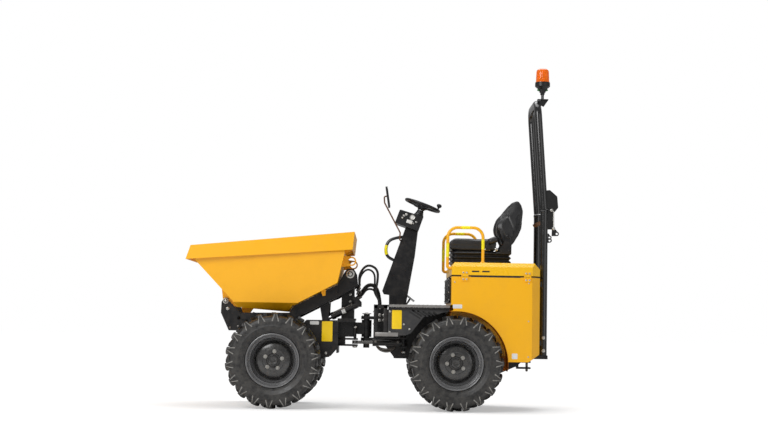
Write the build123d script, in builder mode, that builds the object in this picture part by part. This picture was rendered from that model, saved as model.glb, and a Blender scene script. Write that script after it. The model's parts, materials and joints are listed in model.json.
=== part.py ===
import math
import os

from build123d import *

os.makedirs("parts", exist_ok=True)

# Articulated site dumper with a high-tip skip, in millimetres. The front of the machine is toward -X,
# its left side toward -Y and Z is up from the ground. Names ending in _h are heights above the axle
# line, and the axle line follows the tyre.

# wheels and axles
tyre_r = 378.0
tyre_w = 264.0
lug_depth = 26.0
lugs_a_side = 18
rim_r = 198.0
flange_r = 212.0
flange_half = 118.0
spindle_r = 32.0
track_half = 443.0
front_axle_x = -782.0
rear_axle_x = 658.0
axle_z = tyre_r
axle_tube_r = 38.0
axle_pad_h = 75.0

# running clearances
seat_gap = 0.3
pin_gap = 0.05
side_gap = 5.0

# centre pivot and steering ram
pivot_x = -56.0
pivot_barrel_r = 41.0
pivot_pin_r = 25.0
pivot_tall = 140.0
pivot_ear = 25.0
steer_y = 150.0
steer_h = 150.0
steer_front_x = -147.0
steer_rear_x = 248.0

# front chassis and tower
chassis_half = 190.0
chassis_top_h = 324.0
chassis_wall = 14.0
pivot_rise = 8.0
pivot_high_h = chassis_top_h + pivot_rise
pivot_low_h = pivot_high_h - pivot_tall
tower_half = 105.0
tower_front_x = -263.0
tower_rear_x = -160.0

# lift frame with its rams
lift_x = -192.0
lift_h = 697.0
lift_pin_r = 22.0
arm_in = 225.0
arm_w = 50.0
arm_deep = 82.0
plate_in = 245.0
plate_t = 20.0
lift_ram_y = 142.0
lift_ram_r = 25.0
ram_rear_rise = 138.0
ram_front_rise = 9.0
lift_ram_rear = (-125.0, chassis_top_h + ram_rear_rise)
lift_ram_front = (-389.0, chassis_top_h + ram_front_rise)
eye_half = 14.0
base_eye_half = 28.0
clevis_in = 30.0
tip_clevis_in = 39.0
ram_rod_r = 13.0

# skip with its ram
skip_pin_x = -1189.0
skip_pin_h = 465.0
skip_pin_r = 16.0
skip_wall = 6.0
skip_half = 490.0
skip_low_half = 400.0
skip_floor_half = 210.0
rim_half = 520.0
tip_ram_base = (-640.0, 200.0)
tip_ram_eye = (-1050.0, 368.0)

# rear chassis, body and cover
rail_in = 60.0
rail_out = 75.0
foot_front_x = 122.0
foot_top_h = 457.0
foot_deep = 37.0
foot_half = 400.0
body_front_x = 614.0
body_bend_x = 1253.0
body_rear_x = 1320.0
body_half = 480.0
body_rear_half = 400.0
body_wall = 5.0
body_low_h = 18.0
body_top_h = 685.0
cover_seam = 12.0
cover_deep = 101.0
cover_low_h = body_top_h + cover_seam
cover_top_h = cover_low_h + cover_deep
arch_r = 411.0

# seat, rails and roll bar
seat_half = 225.0
rail_y = 400.0
rail_tube_r = 14.0
leg_x = 1366.0
leg_y = 250.0
leg_r = 30.0
leg_low_h = 71.0
fold_x = 1425.0
fold_h = 1240.0
leg_top_h = 1242.0
roll_top_h = 2117.0
roll_lean = 4.0
fold_pin_r = 10.0
beacon_x = 1352.0
beacon_y = -180.0


# Side view at y: first axis to the rear, second axis up from the axle line.
def side(y):
    return Plane(origin=(0, y, axle_z), x_dir=(1, 0, 0), z_dir=(0, -1, 0))


# Cross-section at x: first axis to the right, second axis up from the axle line.
def cross(x):
    return Plane(origin=(x, 0, axle_z), x_dir=(0, 1, 0), z_dir=(1, 0, 0))


def level(h):
    return Plane.XY.offset(axle_z + h)


# Side-view outline as a plate from y_low to y_high.
def slab(points, y_low, y_high, mode=Mode.ADD):
    with BuildSketch(side(y_high)) as outline:
        Polygon(*points, align=None)
    extrude(outline.sketch, amount=y_high - y_low, mode=mode)


# The same plate on both sides of the machine.
def slabs(points, y_in, y_out, mode=Mode.ADD):
    slab(points, y_in, y_out, mode)
    slab(points, -y_out, -y_in, mode)


# Round bar or hole across the machine.
def pin_y(x, h, r, y_low, y_high, mode=Mode.ADD):
    with BuildSketch(side(y_high)) as disc:
        with Locations((x, h)):
            Circle(r)
    extrude(disc.sketch, amount=y_high - y_low, mode=mode)


def pins_y(x, h, r, y_in, y_out, mode=Mode.ADD):
    pin_y(x, h, r, y_in, y_out, mode)
    pin_y(x, h, r, -y_out, -y_in, mode)


# Upright round bar or hole.
def pin_z(x, y, r, h_low, h_high, mode=Mode.ADD):
    with BuildSketch(level(h_low)) as disc:
        with Locations((x, y)):
            Circle(r)
    extrude(disc.sketch, amount=h_high - h_low, mode=mode)


def block(x_low, x_high, y_low, y_high, h_low, h_high, mode=Mode.ADD):
    with BuildSketch(level(h_low)) as base:
        with Locations(((x_low + x_high) / 2, (y_low + y_high) / 2)):
            Rectangle(x_high - x_low, y_high - y_low)
    extrude(base.sketch, amount=h_high - h_low, mode=mode)


# Round bar between two points (x, y, h).
def bar(start, end, r, mode=Mode.ADD):
    a = Vector(start[0], start[1], axle_z + start[2])
    b = Vector(end[0], end[1], axle_z + end[2])
    with BuildSketch(Plane(origin=a, z_dir=b - a)) as disc:
        Circle(r)
    extrude(disc.sketch, amount=(b - a).length, mode=mode)


# Bent tube of radius r along points (x, y, h).


def finish(name, piece):
    piece.label = name
    export_step(piece, f"parts/{name}.step")


# ---- wheels: the tyre's outline is (radius, distance outward from its centre plane)
tread_r = tyre_r - lug_depth
half_w = tyre_w / 2
tyre_outline = [
    (rim_r, -98),
    (rim_r + 14, -103),
    (rim_r + 34, -half_w + 8),
    (rim_r + 87, -half_w),
    (tread_r - 24, -half_w + 8),
    (tread_r - 2, -half_w + 36),
    (tread_r - 2, half_w - 36),
    (tread_r - 24, half_w - 8),
    (rim_r + 87, half_w),
    (rim_r + 34, half_w - 8),
    (rim_r + 14, 103),
    (rim_r, 98),
]
barrel_r = rim_r - seat_gap
rim_outline = [
    (flange_r, flange_half),
    (flange_r, flange_half - 9),
    (barrel_r, flange_half - 13),
    (barrel_r, -flange_half + 13),
    (flange_r, -flange_half + 9),
    (flange_r, -flange_half),
    (barrel_r - 9, -flange_half + 4),
    (barrel_r - 9, -84),
    (146, -64),
    (60, -64),
    (60, -98),
    (spindle_r + pin_gap, -98),
    (spindle_r + pin_gap, -40),
    (0, -40),
    (0, -12),
    (34, -12),
    (44, -22),
    (44, -50),
    (150, -50),
    (barrel_r - 9, -68),
    (barrel_r - 9, flange_half - 20),
    (barrel_r - 2, flange_half),
]
# a lug in plan: (along the tread, outward), from the middle of the tread out over the shoulder
lug_plan = [(-16, 4), (14, 4), (30, half_w - 34), (34, half_w - 3), (-2, half_w - 3), (-6, half_w - 34)]

# one left wheel about the origin: first axis of its profile up, second axis outward
wheel_plane = Plane(origin=(0, 0, 0), x_dir=(0, 0, 1), z_dir=(1, 0, 0))
with BuildPart() as tyre:
    with BuildSketch(wheel_plane):
        Polygon(*tyre_outline, align=None)
    revolve(axis=Axis.Y)
    for hand, shift in ((1, 0.0), (-1, 0.5)):
        for n in range(lugs_a_side):
            angle = math.radians((n + shift) * 360 / lugs_a_side)
            up = Vector(math.sin(angle), 0, math.cos(angle))
            seat = Plane(origin=up * (tread_r - 26), x_dir=up.cross(Vector(0, 1, 0)), z_dir=up)
            with BuildSketch(seat):
                Polygon(*[(t, w * hand) for t, w in lug_plan], align=None)
            extrude(amount=lug_depth + 26, taper=4)

with BuildPart() as rim:
    with BuildSketch(wheel_plane):
        Polygon(*rim_outline, align=None)
    revolve(axis=Axis.Y)

corners = [("front_left", front_axle_x, -1), ("front_right", front_axle_x, 1)]
corners += [("rear_left", rear_axle_x, -1), ("rear_right", rear_axle_x, 1)]
for place, wheel_x, hand in corners:
    at = Pos(wheel_x, hand * track_half, axle_z) * Rot(0, 0, 90 + 90 * hand)
    finish(f"tyre_{place}", at * tyre.part)
    finish(f"rim_{place}", at * rim.part)


# ---- axles: tube, motor housing, pads to the frame, flanges and spindles
flange_y = track_half - 98 - side_gap
for name, axle_x, pad_in, pad_out in (
    ("front_axle", front_axle_x, chassis_half - 30, chassis_half),
    ("rear_axle", rear_axle_x, rail_in - 10, rail_out + 10),
):
    with BuildPart() as axle:
        pin_y(axle_x, 0, axle_tube_r, -flange_y + 5, flange_y - 5)
        pin_y(axle_x, 0, axle_tube_r + 24, -110, 110)
        pins_y(axle_x, 0, 74, flange_y - 16, flange_y)
        pins_y(axle_x, 0, spindle_r, flange_y - 2, track_half - 44)
        block(axle_x - 55, axle_x + 55, pad_in, pad_out, 20, axle_pad_h)
        block(axle_x - 55, axle_x + 55, -pad_out, -pad_in, 20, axle_pad_h)
    finish(name, axle.part)


# ---- front chassis: two side plates with floor and bulkheads, neck, pivot barrel and ram ears
front_plate = [
    (-282, chassis_top_h),
    (-282, 112),
    (-352, 28),
    (-400, 20),
    (-520, -40),
    (-650, -40),
    (front_axle_x + 95, axle_pad_h),
    (front_axle_x - 95, axle_pad_h),
    (-960, -20),
    (-1050, 60),
    (-1050, 230),
    (-940, chassis_top_h - 26),
    (-566, chassis_top_h - 26),
    (-540, chassis_top_h),
]
neck_front_x = -296.0
barrel_front_x = pivot_x - 100
with BuildPart() as front_chassis:
    slabs(front_plate, chassis_half - chassis_wall, chassis_half)
    inner = chassis_half - chassis_wall
    block(-530, -400, -inner, inner, -40, -28)
    block(-650, -520, -inner, inner, -40, -28)
    block(-640, -628, -inner, inner, -40, 90)
    block(-1050, -1038, -inner, inner, 60, 230)
    block(neck_front_x, -282, -inner, inner, 60, chassis_top_h)
    block(-296, -150, -chassis_half, chassis_half, chassis_top_h - 14, chassis_top_h)
    block(-296, barrel_front_x, -95, 95, pivot_low_h, chassis_top_h - 14)
    # neck to the pivot barrel
    block(barrel_front_x - 1, pivot_x, -36, 36, pivot_low_h + 22, pivot_high_h - 22)
    pin_z(pivot_x, 0, pivot_barrel_r, pivot_low_h, pivot_high_h)
    pin_z(pivot_x, 0, pivot_pin_r + pin_gap, pivot_low_h, pivot_high_h, Mode.SUBTRACT)
    # ears for the steering ram's rod, with stub pins
    for ear_low in (steer_h - eye_half - 4 - 14, steer_h + eye_half + 4):
        with BuildSketch(level(ear_low)) as ear:
            Polygon(
                (-296, -60),
                (-296, -120),
                (steer_front_x - 26, -steer_y - 24),
                (steer_front_x + 22, -steer_y - 24),
                (steer_front_x + 24, -steer_y + 20),
                (-165, -60),
                align=None,
            )
        extrude(ear.sketch, amount=14)
    block(-296, -230, -95, 95, steer_h - eye_half - 18, pivot_low_h + 1)
    pin_z(steer_front_x, -steer_y, 12, steer_h + eye_half + 3, steer_h + eye_half + 100)
finish("front_chassis", front_chassis.part)


# ---- tower: box column on a base flange, bearing tube for the lift frame, ears for the lift rams
with BuildPart() as tower:
    block(-290, -145, -chassis_half, chassis_half, chassis_top_h, chassis_top_h + 16)
    tower_sides = [
        (tower_front_x, chassis_top_h + 15),
        (tower_rear_x, chassis_top_h + 15),
        (tower_rear_x, lift_h - 20),
        (lift_x, lift_h),
        (tower_front_x + 20, lift_h - 60),
        (tower_front_x, lift_h - 140),
    ]
    slabs(tower_sides, tower_half - 12, tower_half)
    block(tower_front_x, tower_front_x + 10, -tower_half, tower_half, chassis_top_h + 15, lift_h - 150)
    block(tower_rear_x - 10, tower_rear_x, -tower_half, tower_half, chassis_top_h + 15, lift_h - 40)
    tower_reach = plate_in - side_gap
    pin_y(lift_x, lift_h, lift_pin_r + 18, -tower_reach, tower_reach)
    pin_y(lift_x, lift_h, lift_pin_r + pin_gap, -tower_reach, tower_reach, Mode.SUBTRACT)
    # gussets that carry the bearing tube's ends
    gusset = [(lift_x - 26, lift_h - 22), (lift_x + 26, lift_h - 22), (tower_rear_x, lift_h - 130)]
    gusset += [(tower_front_x + 30, lift_h - 130)]
    for y_low in (tower_half - 1, -tower_half - 59):
        slab(gusset, y_low, y_low + 60)
    # clevis for each lift ram's barrel, tied to the column above the barrel
    base_x, base_h = lift_ram_rear
    for hand in (-1, 1):
        mid = hand * lift_ram_y
        clevis = [
            (base_x + 22, base_h + 18),
            (base_x + 22, base_h - 22),
            (base_x - 14, base_h - 24),
            (tower_rear_x - 8, base_h + 34),
            (tower_rear_x - 8, base_h + 62),
            (base_x - 4, base_h + 44),
        ]
        for y_low in (mid - clevis_in - 12, mid + clevis_in):
            slab(clevis, y_low, y_low + 12)
        wing = sorted((hand * (tower_half - 2), mid + hand * (clevis_in + 12)))
        block(tower_rear_x - 10, tower_rear_x, wing[0], wing[1], base_h + 36, base_h + 62)
        pins_to = clevis_in + 8
        pin_y(base_x, base_h, 12, mid - pins_to, mid + pins_to)
finish("tower", tower.part)


# ---- lift frame: upper plates on the tower pin, box arms, front plates up to the skip's pin
arm_side = [(-296, 604), (-309, 599), (-640, 430), (-676, 378), (-1060, 372), (-1060, 318), (-690, 318)]
arm_side += [(-619, 340), (-330, 490), (-296, 503)]
upper_plate = [
    (lift_x - 44, lift_h + 18),
    (lift_x - 120, lift_h - 125),
    (-345, 560),
    (-296, 503),
    (-134, 602),
    (lift_x + 46, lift_h + 12),
    (lift_x + 28, lift_h + 40),
    (lift_x - 20, lift_h + 44),
]
front_hinge_plate = [
    (skip_pin_x - 34, skip_pin_h - 10),
    (skip_pin_x - 37, 369),
    (-1160, 228),
    (-1060, 228),
    (-1020, 318),
    (-1029, 325),
    (skip_pin_x + 22, skip_pin_h + 5),
    (skip_pin_x + 14, skip_pin_h + 25),
    (skip_pin_x - 14, skip_pin_h + 25),
]
with BuildPart() as lift_frame:
    slabs(arm_side, arm_in, arm_in + arm_w)
    slabs(upper_plate, plate_in, plate_in + plate_t)
    slabs(front_hinge_plate, plate_in, plate_in + plate_t)
    pins_y(-1080, 328, 14, plate_in, plate_in + plate_t, Mode.SUBTRACT)
    pin_y(lift_x, lift_h, lift_pin_r, -plate_in - plate_t - 12, plate_in + plate_t + 12)
    pins_y(skip_pin_x, skip_pin_h, skip_pin_r, plate_in - 30, plate_in + plate_t + 10)
    # cross tubes and the tipping ram's ears
    pin_y(-1114, 336, 26, -plate_in - 2, plate_in + 2)
    pin_y(-636, 345, 26, -arm_in - 2, arm_in + 2)
    tip_ears = [(-656, 345), (-616, 345), (tip_ram_base[0] + 22, 182), (tip_ram_base[0] - 22, 182)]
    slabs(tip_ears, tip_clevis_in, tip_clevis_in + 12)
    pin_y(tip_ram_base[0], tip_ram_base[1], 12, -tip_clevis_in - 2, tip_clevis_in + 2)
    # ears for the lift rams' rods hang from the arms on a cross plate
    for hand in (-1, 1):
        mid = hand * lift_ram_y
        for y_low in (mid - eye_half - 4 - 12, mid + eye_half + 4):
            slab(
                [
                    (lift_ram_front[0] + 24, lift_ram_front[1] - 20),
                    (lift_ram_front[0] - 24, lift_ram_front[1] - 20),
                    (lift_ram_front[0] - 44, lift_ram_front[1] + 92),
                    (lift_ram_front[0] + 30, lift_ram_front[1] + 132),
                ],
                y_low,
                y_low + 12,
            )
    slab(
        [
            (lift_ram_front[0] - 44, lift_ram_front[1] + 90),
            (lift_ram_front[0] + 30, lift_ram_front[1] + 130),
            (lift_ram_front[0] + 26, lift_ram_front[1] + 142),
            (lift_ram_front[0] - 48, lift_ram_front[1] + 104),
        ],
        -arm_in - 2,
        arm_in + 2,
    )
finish("lift_frame", lift_frame.part)


# ---- skip: tub with sloped ends and sides, folded rim, hinge ears and lifting eyes
tub_outline = [
    (-1417, 900),
    (-1417, 780),
    (-1118, 461),
    (-1091, 416),
    (-690, 386),
    (-655, 428),
    (-290, 620),
    (-238, 844),
    (-225, 1020),
]
tub_section = [
    (-skip_floor_half, 380),
    (skip_floor_half, 380),
    (skip_low_half, 455),
    (skip_half, 860),
    (skip_half, 1030),
    (-skip_half, 1030),
    (-skip_half, 860),
    (-skip_low_half, 455),
]
rim_front_low, rim_front_top = (-1487, 785), (-1450, 895)
rim_rear_top, rim_rear_low = (-158, 1022), (-172, 881)
with BuildPart() as skip_rim:
    slab([rim_front_low, rim_front_top, rim_rear_top, rim_rear_low], -rim_half, rim_half)
    slab(
        [(-1484, 760), (-1444, 889), (-164, 1015.5), (-180, 850)],
        -rim_half + skip_wall,
        rim_half - skip_wall,
        Mode.SUBTRACT,
    )
    block(-1416, -227, -skip_half + 1, skip_half - 1, 700, 1100, Mode.SUBTRACT)

with BuildPart() as skip:
    slab(tub_outline, -skip_half, skip_half)
    with BuildSketch(cross(-1500)):
        Polygon(*tub_section, align=None)
    extrude(amount=1400, mode=Mode.INTERSECT)
    slab([(-1430, 892), (-225, 1011), (-225, 1200), (-1430, 1200)], -600, 600, Mode.SUBTRACT)
    mouth = faces().sort_by(Axis.Z)[-1]
    offset(amount=-skip_wall, openings=mouth)
    add(skip_rim.part)
    # hinge ears on the front slope
    ear = [(-1228, 575), (skip_pin_x - 24, skip_pin_h - 10), (skip_pin_x - 10, skip_pin_h - 24)]
    ear += [(skip_pin_x + 14, skip_pin_h - 24), (-1100, 416), (-1092, 418), (-1118, 461)]
    slabs(ear, arm_in - 10, arm_in + 12)
    pins_y(skip_pin_x, skip_pin_h, skip_pin_r + pin_gap, arm_in - 20, arm_in + 20, Mode.SUBTRACT)
    # tipping ram's ears under the floor
    for mid in (-26, 26):
        slab(
            [
                (tip_ram_eye[0] - 34, 417),
                (tip_ram_eye[0] + 60, 410),
                (tip_ram_eye[0] + 18, tip_ram_eye[1] - 18),
                (tip_ram_eye[0] - 18, tip_ram_eye[1] - 18),
            ],
            mid - 6,
            mid + 6,
        )
    # lifting eyes behind the rear wall, gussets under the rim and stop tabs under the slope
    for mid in (-360, 360):
        slab([(-245, 838), (-266, 748), (-190, 758), (-181, 832)], mid - 8, mid + 8)
        pin_y(-181, 795, 37, mid - 8, mid + 8)
        pin_y(-181, 795, 26, mid - 9, mid + 9, Mode.SUBTRACT)
    for mid in (-360, 0, 360):
        slab([(-240, 850), (-229, 990), (-166, 1009), (-178, 884)], mid - 4, mid + 4)
    slabs([(-425, 552), (-385, 573), (-388, 520), (-410, 515)], arm_in + arm_w + 8, arm_in + arm_w + 16)
finish("skip", skip.part)


# ---- rams: barrel with an eye at its base, rod with an eye at its tip
# Built along +X from the base eye, then laid between its two pins.
def ram_part(body_r, bore_r, barrel_length, eye_r, pin_r, half):
    with BuildPart() as barrel:
        with BuildSketch(Plane.XZ.offset(-half)):
            Circle(eye_r)
        extrude(amount=2 * half)
        with BuildSketch(Plane.YZ.offset(eye_r * 0.6)):
            Circle(body_r)
        extrude(amount=barrel_length - eye_r * 0.6)
        with BuildSketch(Plane.YZ.offset(barrel_length - 26)):
            Circle(body_r + 4)
        extrude(amount=26)
        with BuildSketch(Plane.YZ.offset(barrel_length)):
            Circle(bore_r + pin_gap)
        extrude(amount=-(barrel_length - eye_r - 14), mode=Mode.SUBTRACT)
        with BuildSketch(Plane.XZ.offset(-half)):
            Circle(pin_r + pin_gap)
        extrude(amount=2 * half, mode=Mode.SUBTRACT)
    return barrel.part


# Rod along +X that ends in its eye at the origin.
def rod_part(rod_r, rod_length, eye_r, pin_r):
    with BuildPart() as rod:
        with BuildSketch(Plane.XZ.offset(-eye_half)):
            Circle(eye_r)
        extrude(amount=2 * eye_half)
        with BuildSketch(Plane.YZ):
            Circle(rod_r)
        extrude(amount=-rod_length)
        with BuildSketch(Plane.XZ.offset(-eye_half)):
            Circle(pin_r)
        extrude(amount=2 * eye_half, mode=Mode.SUBTRACT)
    return rod.part


# Place of a side-view ram: origin at its base pin, local X toward its tip pin.
def in_side_view(base, tip, y):
    rise = math.degrees(math.atan2(tip[1] - base[1], tip[0] - base[0]))
    return Pos(base[0], y, axle_z + base[1]) * Rot(0, -rise, 0)


lift_length = math.dist(lift_ram_rear, lift_ram_front)
lift_barrel = ram_part(lift_ram_r, 15, lift_length - 50, 24, 12, base_eye_half)
lift_rod = rod_part(15, lift_length - 60, 22, 14)
lift_at = [in_side_view(lift_ram_rear, lift_ram_front, y) for y in (-lift_ram_y, lift_ram_y)]
lift_barrels = Compound(children=[at * lift_barrel for at in lift_at])
lift_rods = Compound(children=[at * Pos(lift_length, 0, 0) * lift_rod for at in lift_at])
finish("lift_ram_barrels", lift_barrels)
finish("lift_ram_rods", lift_rods)

# tipping ram on the centre line
tip_length = math.dist(tip_ram_base, tip_ram_eye)
tip_at = in_side_view(tip_ram_base, tip_ram_eye, 0)
tip_barrel = ram_part(32, ram_rod_r, tip_length - 52, 26, 12, tip_clevis_in - 2)
tip_rod = rod_part(ram_rod_r, tip_length - 60, 22, 14)
finish("tip_ram_barrel", tip_at * tip_barrel)
finish("tip_ram_rod", tip_at * Pos(tip_length, 0, 0) * tip_rod)

# steering ram along the left side, lying flat, its barrel on the rear chassis
steer_at = Pos(steer_rear_x, -steer_y, axle_z + steer_h) * Rot(0, 0, 180) * Rot(90, 0, 0)
finish("steering_ram_barrel", steer_at * ram_part(26, ram_rod_r, 252, 24, 12, base_eye_half))
steer_tip_at = Pos(steer_front_x, -steer_y, axle_z + steer_h) * Rot(0, 0, 180) * Rot(90, 0, 0)
finish("steering_ram_rod", steer_tip_at * rod_part(ram_rod_r, 258, 22, 14))


# ---- rear chassis: two rails with cross plates, pivot ears with their pin, ram ears and outriggers
clevis_x = 1177.0
rail = [
    (20, 190),
    (20, foot_top_h - foot_deep),
    (590, foot_top_h - foot_deep),
    (590, 225),
    (1240, 225),
    (1240, 40),
    (1176, -22),
    (1047, -80),
    (900, -80),
    (rear_axle_x + 95, axle_pad_h),
    (rear_axle_x - 95, axle_pad_h),
    (430, 23),
    (178, 23),
    (105, 118),
    (60, 160),
]
with BuildPart() as rear_chassis:
    slabs(rail, rail_in, rail_out)
    block(18, 34, -rail_out, rail_out, 188, foot_top_h - foot_deep)
    block(170, 186, -rail_in, rail_in, 24, 200)
    block(574, 590, -200, 200, 330, foot_top_h - foot_deep)
    block(574, 590, -foot_half + 24.3, foot_half - 24.3, 392, foot_top_h - foot_deep)
    block(1224, 1240, -rail_in, rail_in, 40, 225)
    block(1152, clevis_x - seat_gap, -rail_in, rail_in, -30, 18)
    block(900, 1047, -rail_in, rail_in, -80, -66)
    for x_low in (690, 1110):
        block(x_low, x_low + 40, -210, 210, 211, 225)
    # ears above and below the pivot barrel, and the pin through both
    for ear_low, ear_high in (
        (pivot_low_h - side_gap - pivot_ear, pivot_low_h - side_gap),
        (pivot_high_h + side_gap, pivot_high_h + side_gap + pivot_ear),
    ):
        pin_z(pivot_x, 0, 46, ear_low, ear_high)
        block(pivot_x, 24, -46, 46, ear_low, ear_high)
    block(18, 60, -rail_in, rail_in, pivot_low_h - 42, pivot_low_h + 38)
    pin_z(pivot_x, 0, pivot_pin_r, pivot_low_h - 88, pivot_high_h + 48)
    # ears for the steering ram's barrel, with its stub pins
    for ear_low in (steer_h - clevis_in - 12, steer_h + clevis_in):
        block(steer_rear_x - 26, steer_rear_x + 26, -steer_y - 26, -rail_in, ear_low, ear_low + 12)
    pin_z(steer_rear_x, -steer_y, 12, steer_h - clevis_in - 40, steer_h + clevis_in + 30)
    # cross beam that carries the roll bar
    block(1225, leg_x + 34, -leg_y - 36, leg_y + 36, 41, 71)
finish("rear_chassis", rear_chassis.part)


# ---- tow clevis with its pin hole at the back of the rear chassis
with BuildPart() as tow_clevis:
    for h_low in (-46, 4):
        block(clevis_x + 1, 1290, -45, 45, h_low, h_low + 14)
    block(clevis_x, clevis_x + 14, -45, 45, -46, 18)
    pin_z(1262, 0, 11, -50, 40, Mode.SUBTRACT)
finish("tow_clevis", tow_clevis.part)


# ---- footplate tray with side steps
foot_low_h = foot_top_h - foot_deep
with BuildPart() as footplate:
    block(foot_front_x, body_front_x - 4, -foot_half, foot_half, foot_low_h + seat_gap, foot_top_h)
    offset(amount=-5, openings=faces().sort_by(Axis.Z)[0])
finish("footplate", footplate.part)

with BuildPart() as side_steps:
    shield = [(3, 190), (9, 190), (9, 448), (foot_front_x - seat_gap, 448)]
    shield += [(foot_front_x - seat_gap, 454), (3, 454)]
    slabs(shield, 250, 380)
    slabs([(3, 184), (212, 184), (212, 212), (206, 212), (206, 190), (3, 190)], 250, 380)
finish("side_steps", side_steps.part)


# ---- slotted side panels under the footplate, cut round the wheel arch
panel_low_h = 212.0
slot_pitch = 36.0
with BuildPart() as side_panels:
    slabs(
        [(118, foot_low_h), (606, foot_low_h), (606, 395), (400, 360), (300, 230), (255, panel_low_h), (118, panel_low_h)],
        foot_half - 24,
        foot_half - 16,
    )
    pins_y(rear_axle_x, 0, arch_r, foot_half - 40, foot_half, Mode.SUBTRACT)
    for n in range(5):
        with BuildSketch(side(foot_half + 20)):
            with Locations(Location((345 + 40 * n, 392 - 4 * n, 0), 0)):
                SlotOverall(90 - 6 * n, 12, rotation=-32)
        extrude(amount=2 * foot_half + 40, mode=Mode.SUBTRACT)
finish("side_panels", side_panels.part)


# ---- steering column, dash box, steering wheel
column_front = [(250, 1094), (67, 572), (80, 545), (124, 540), (124, foot_top_h), (262, foot_top_h)]
column_front += [(330, 860), (352, 1062)]
with BuildPart() as steering_column:
    slab(column_front, -62, 62)
    with BuildSketch(cross(0)):
        Polygon((-75, foot_top_h), (75, foot_top_h), (48, 1110), (-48, 1110), align=None)
    extrude(amount=400, mode=Mode.INTERSECT)
finish("steering_column", steering_column.part)

wheel_lean = 19.7
dash_outline = [(201, 1239), (161, 1130), (248, 1099), (354, 1062), (395, 1181)]
with BuildPart() as dash_box:
    slab(dash_outline, -110, 110)
    fillet(edges().filter_by(Axis.Y), 10)
    slab(column_front, -64, 64, Mode.SUBTRACT)
finish("dash_box", dash_box.part)

hub_x, hub_h = 388.0, 1283.0
hub_plane = Plane(
    origin=(hub_x, 0, axle_z + hub_h),
    x_dir=(math.cos(math.radians(wheel_lean)), 0, -math.sin(math.radians(wheel_lean))),
    z_dir=(math.sin(math.radians(wheel_lean)), 0, math.cos(math.radians(wheel_lean))),
)
ring_r, grip_r = 142.0, 13.0
with BuildPart() as steering_wheel:
    with BuildSketch(Plane(origin=hub_plane.origin, x_dir=hub_plane.x_dir, z_dir=(0, -1, 0))):
        with Locations((ring_r, 0)):
            Circle(grip_r)
    revolve(axis=Axis(hub_plane.origin, hub_plane.z_dir))
    with BuildSketch(hub_plane.offset(-42)):
        Circle(34)
    extrude(amount=32, taper=12)
    for turn in (90, 210, 330):
        out = hub_plane.x_dir.rotate(Axis((0, 0, 0), hub_plane.z_dir), turn)
        with BuildSketch(Plane(origin=hub_plane.origin + hub_plane.z_dir * -24, z_dir=out * 130 + hub_plane.z_dir * 20)):
            Rectangle(9, 26)
        extrude(amount=136)
    knob_at = hub_plane.origin + hub_plane.x_dir * 112 + hub_plane.z_dir * 4
    with BuildSketch(Plane(origin=knob_at, z_dir=hub_plane.z_dir)):
        Circle(19)
    extrude(amount=46, taper=-4)
finish("steering_wheel", steering_wheel.part)

with BuildPart() as wheel_shaft:
    with BuildSketch(hub_plane.offset(-110)):
        Circle(20)
    extrude(amount=110 - 42 - seat_gap)
    add(dash_box.part, mode=Mode.SUBTRACT)
finish("wheel_shaft", wheel_shaft.part)


# ---- mirror on its rod, and the grab handle
side_rod_y = -118.0
with BuildPart() as mirror:
    with BuildSketch(
        Plane(origin=(108, side_rod_y, axle_z + 1337), x_dir=(0, 1, 0), z_dir=(-0.988, 0, -0.151))
    ):
        RectangleRounded(120, 172, 22)
    extrude(amount=16)
finish("mirror", mirror.part)

mirror_path = [(100, side_rod_y, 1345), (70, side_rod_y, 1342), (74, side_rod_y, 1290)]
mirror_path += [(206, side_rod_y, 1046), (202, side_rod_y, 992), (212, -40, 985)]
grab_path = [(240, 0, 1020), (150, 0, 1012), (92, 0, 960), (92, 0, 860), (170, 0, 820)]


# ---- engine as one plain block on its bearers
with BuildPart() as engine_block:
    block(680, 1160, -200, 200, 225 + seat_gap, 600)
finish("engine_block", engine_block.part)


# ---- body: side panels with wheel arches, rear panel with chamfered corners, front panel
def body_plan(inset):
    side_out = body_half - inset
    rear_out = body_rear_half - inset * 0.6
    return [
        (body_front_x + inset, -side_out),
        (body_bend_x - inset * 0.3, -side_out),
        (body_rear_x - inset, -rear_out),
        (body_rear_x - inset, rear_out),
        (body_bend_x - inset * 0.3, side_out),
        (body_front_x + inset, side_out),
    ]


lower_edge = [(500, -100), (1400, -100), (1400, 150), (1326, 83), (1225, body_low_h), (500, body_low_h)]
with BuildPart() as body_shell:
    with BuildSketch(level(body_low_h)) as outer:
        Polygon(*body_plan(0), align=None)
        Polygon(*body_plan(body_wall), align=None, mode=Mode.SUBTRACT)
    extrude(amount=body_top_h - body_low_h)
    slab(lower_edge, -600, 600, Mode.SUBTRACT)
    pin_y(rear_axle_x, 0, arch_r, -600, 600, Mode.SUBTRACT)
    block(590, 630, -600, 600, -100, foot_top_h + 2, Mode.SUBTRACT)

# hinge of the seat cover along the left edge: (start, width) of each pair of leaves
hinge_y = -body_half - 6.0
hinge_h = 691.0
hinge_pin_r = 3.0
hinge_r = 6.0
hinges = [(690.0, 56.0), (1186.0, 56.0)]
knuckle = 13.0


# Round bar or hole along the machine, centred on the seat cover's hinge line.
def hinge_bar(x_low, x_high, r, mode=Mode.ADD):
    with BuildSketch(cross(x_low)) as disc:
        with Locations((hinge_y, hinge_h)):
            Circle(r)
    extrude(disc.sketch, amount=x_high - x_low, mode=mode)


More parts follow.
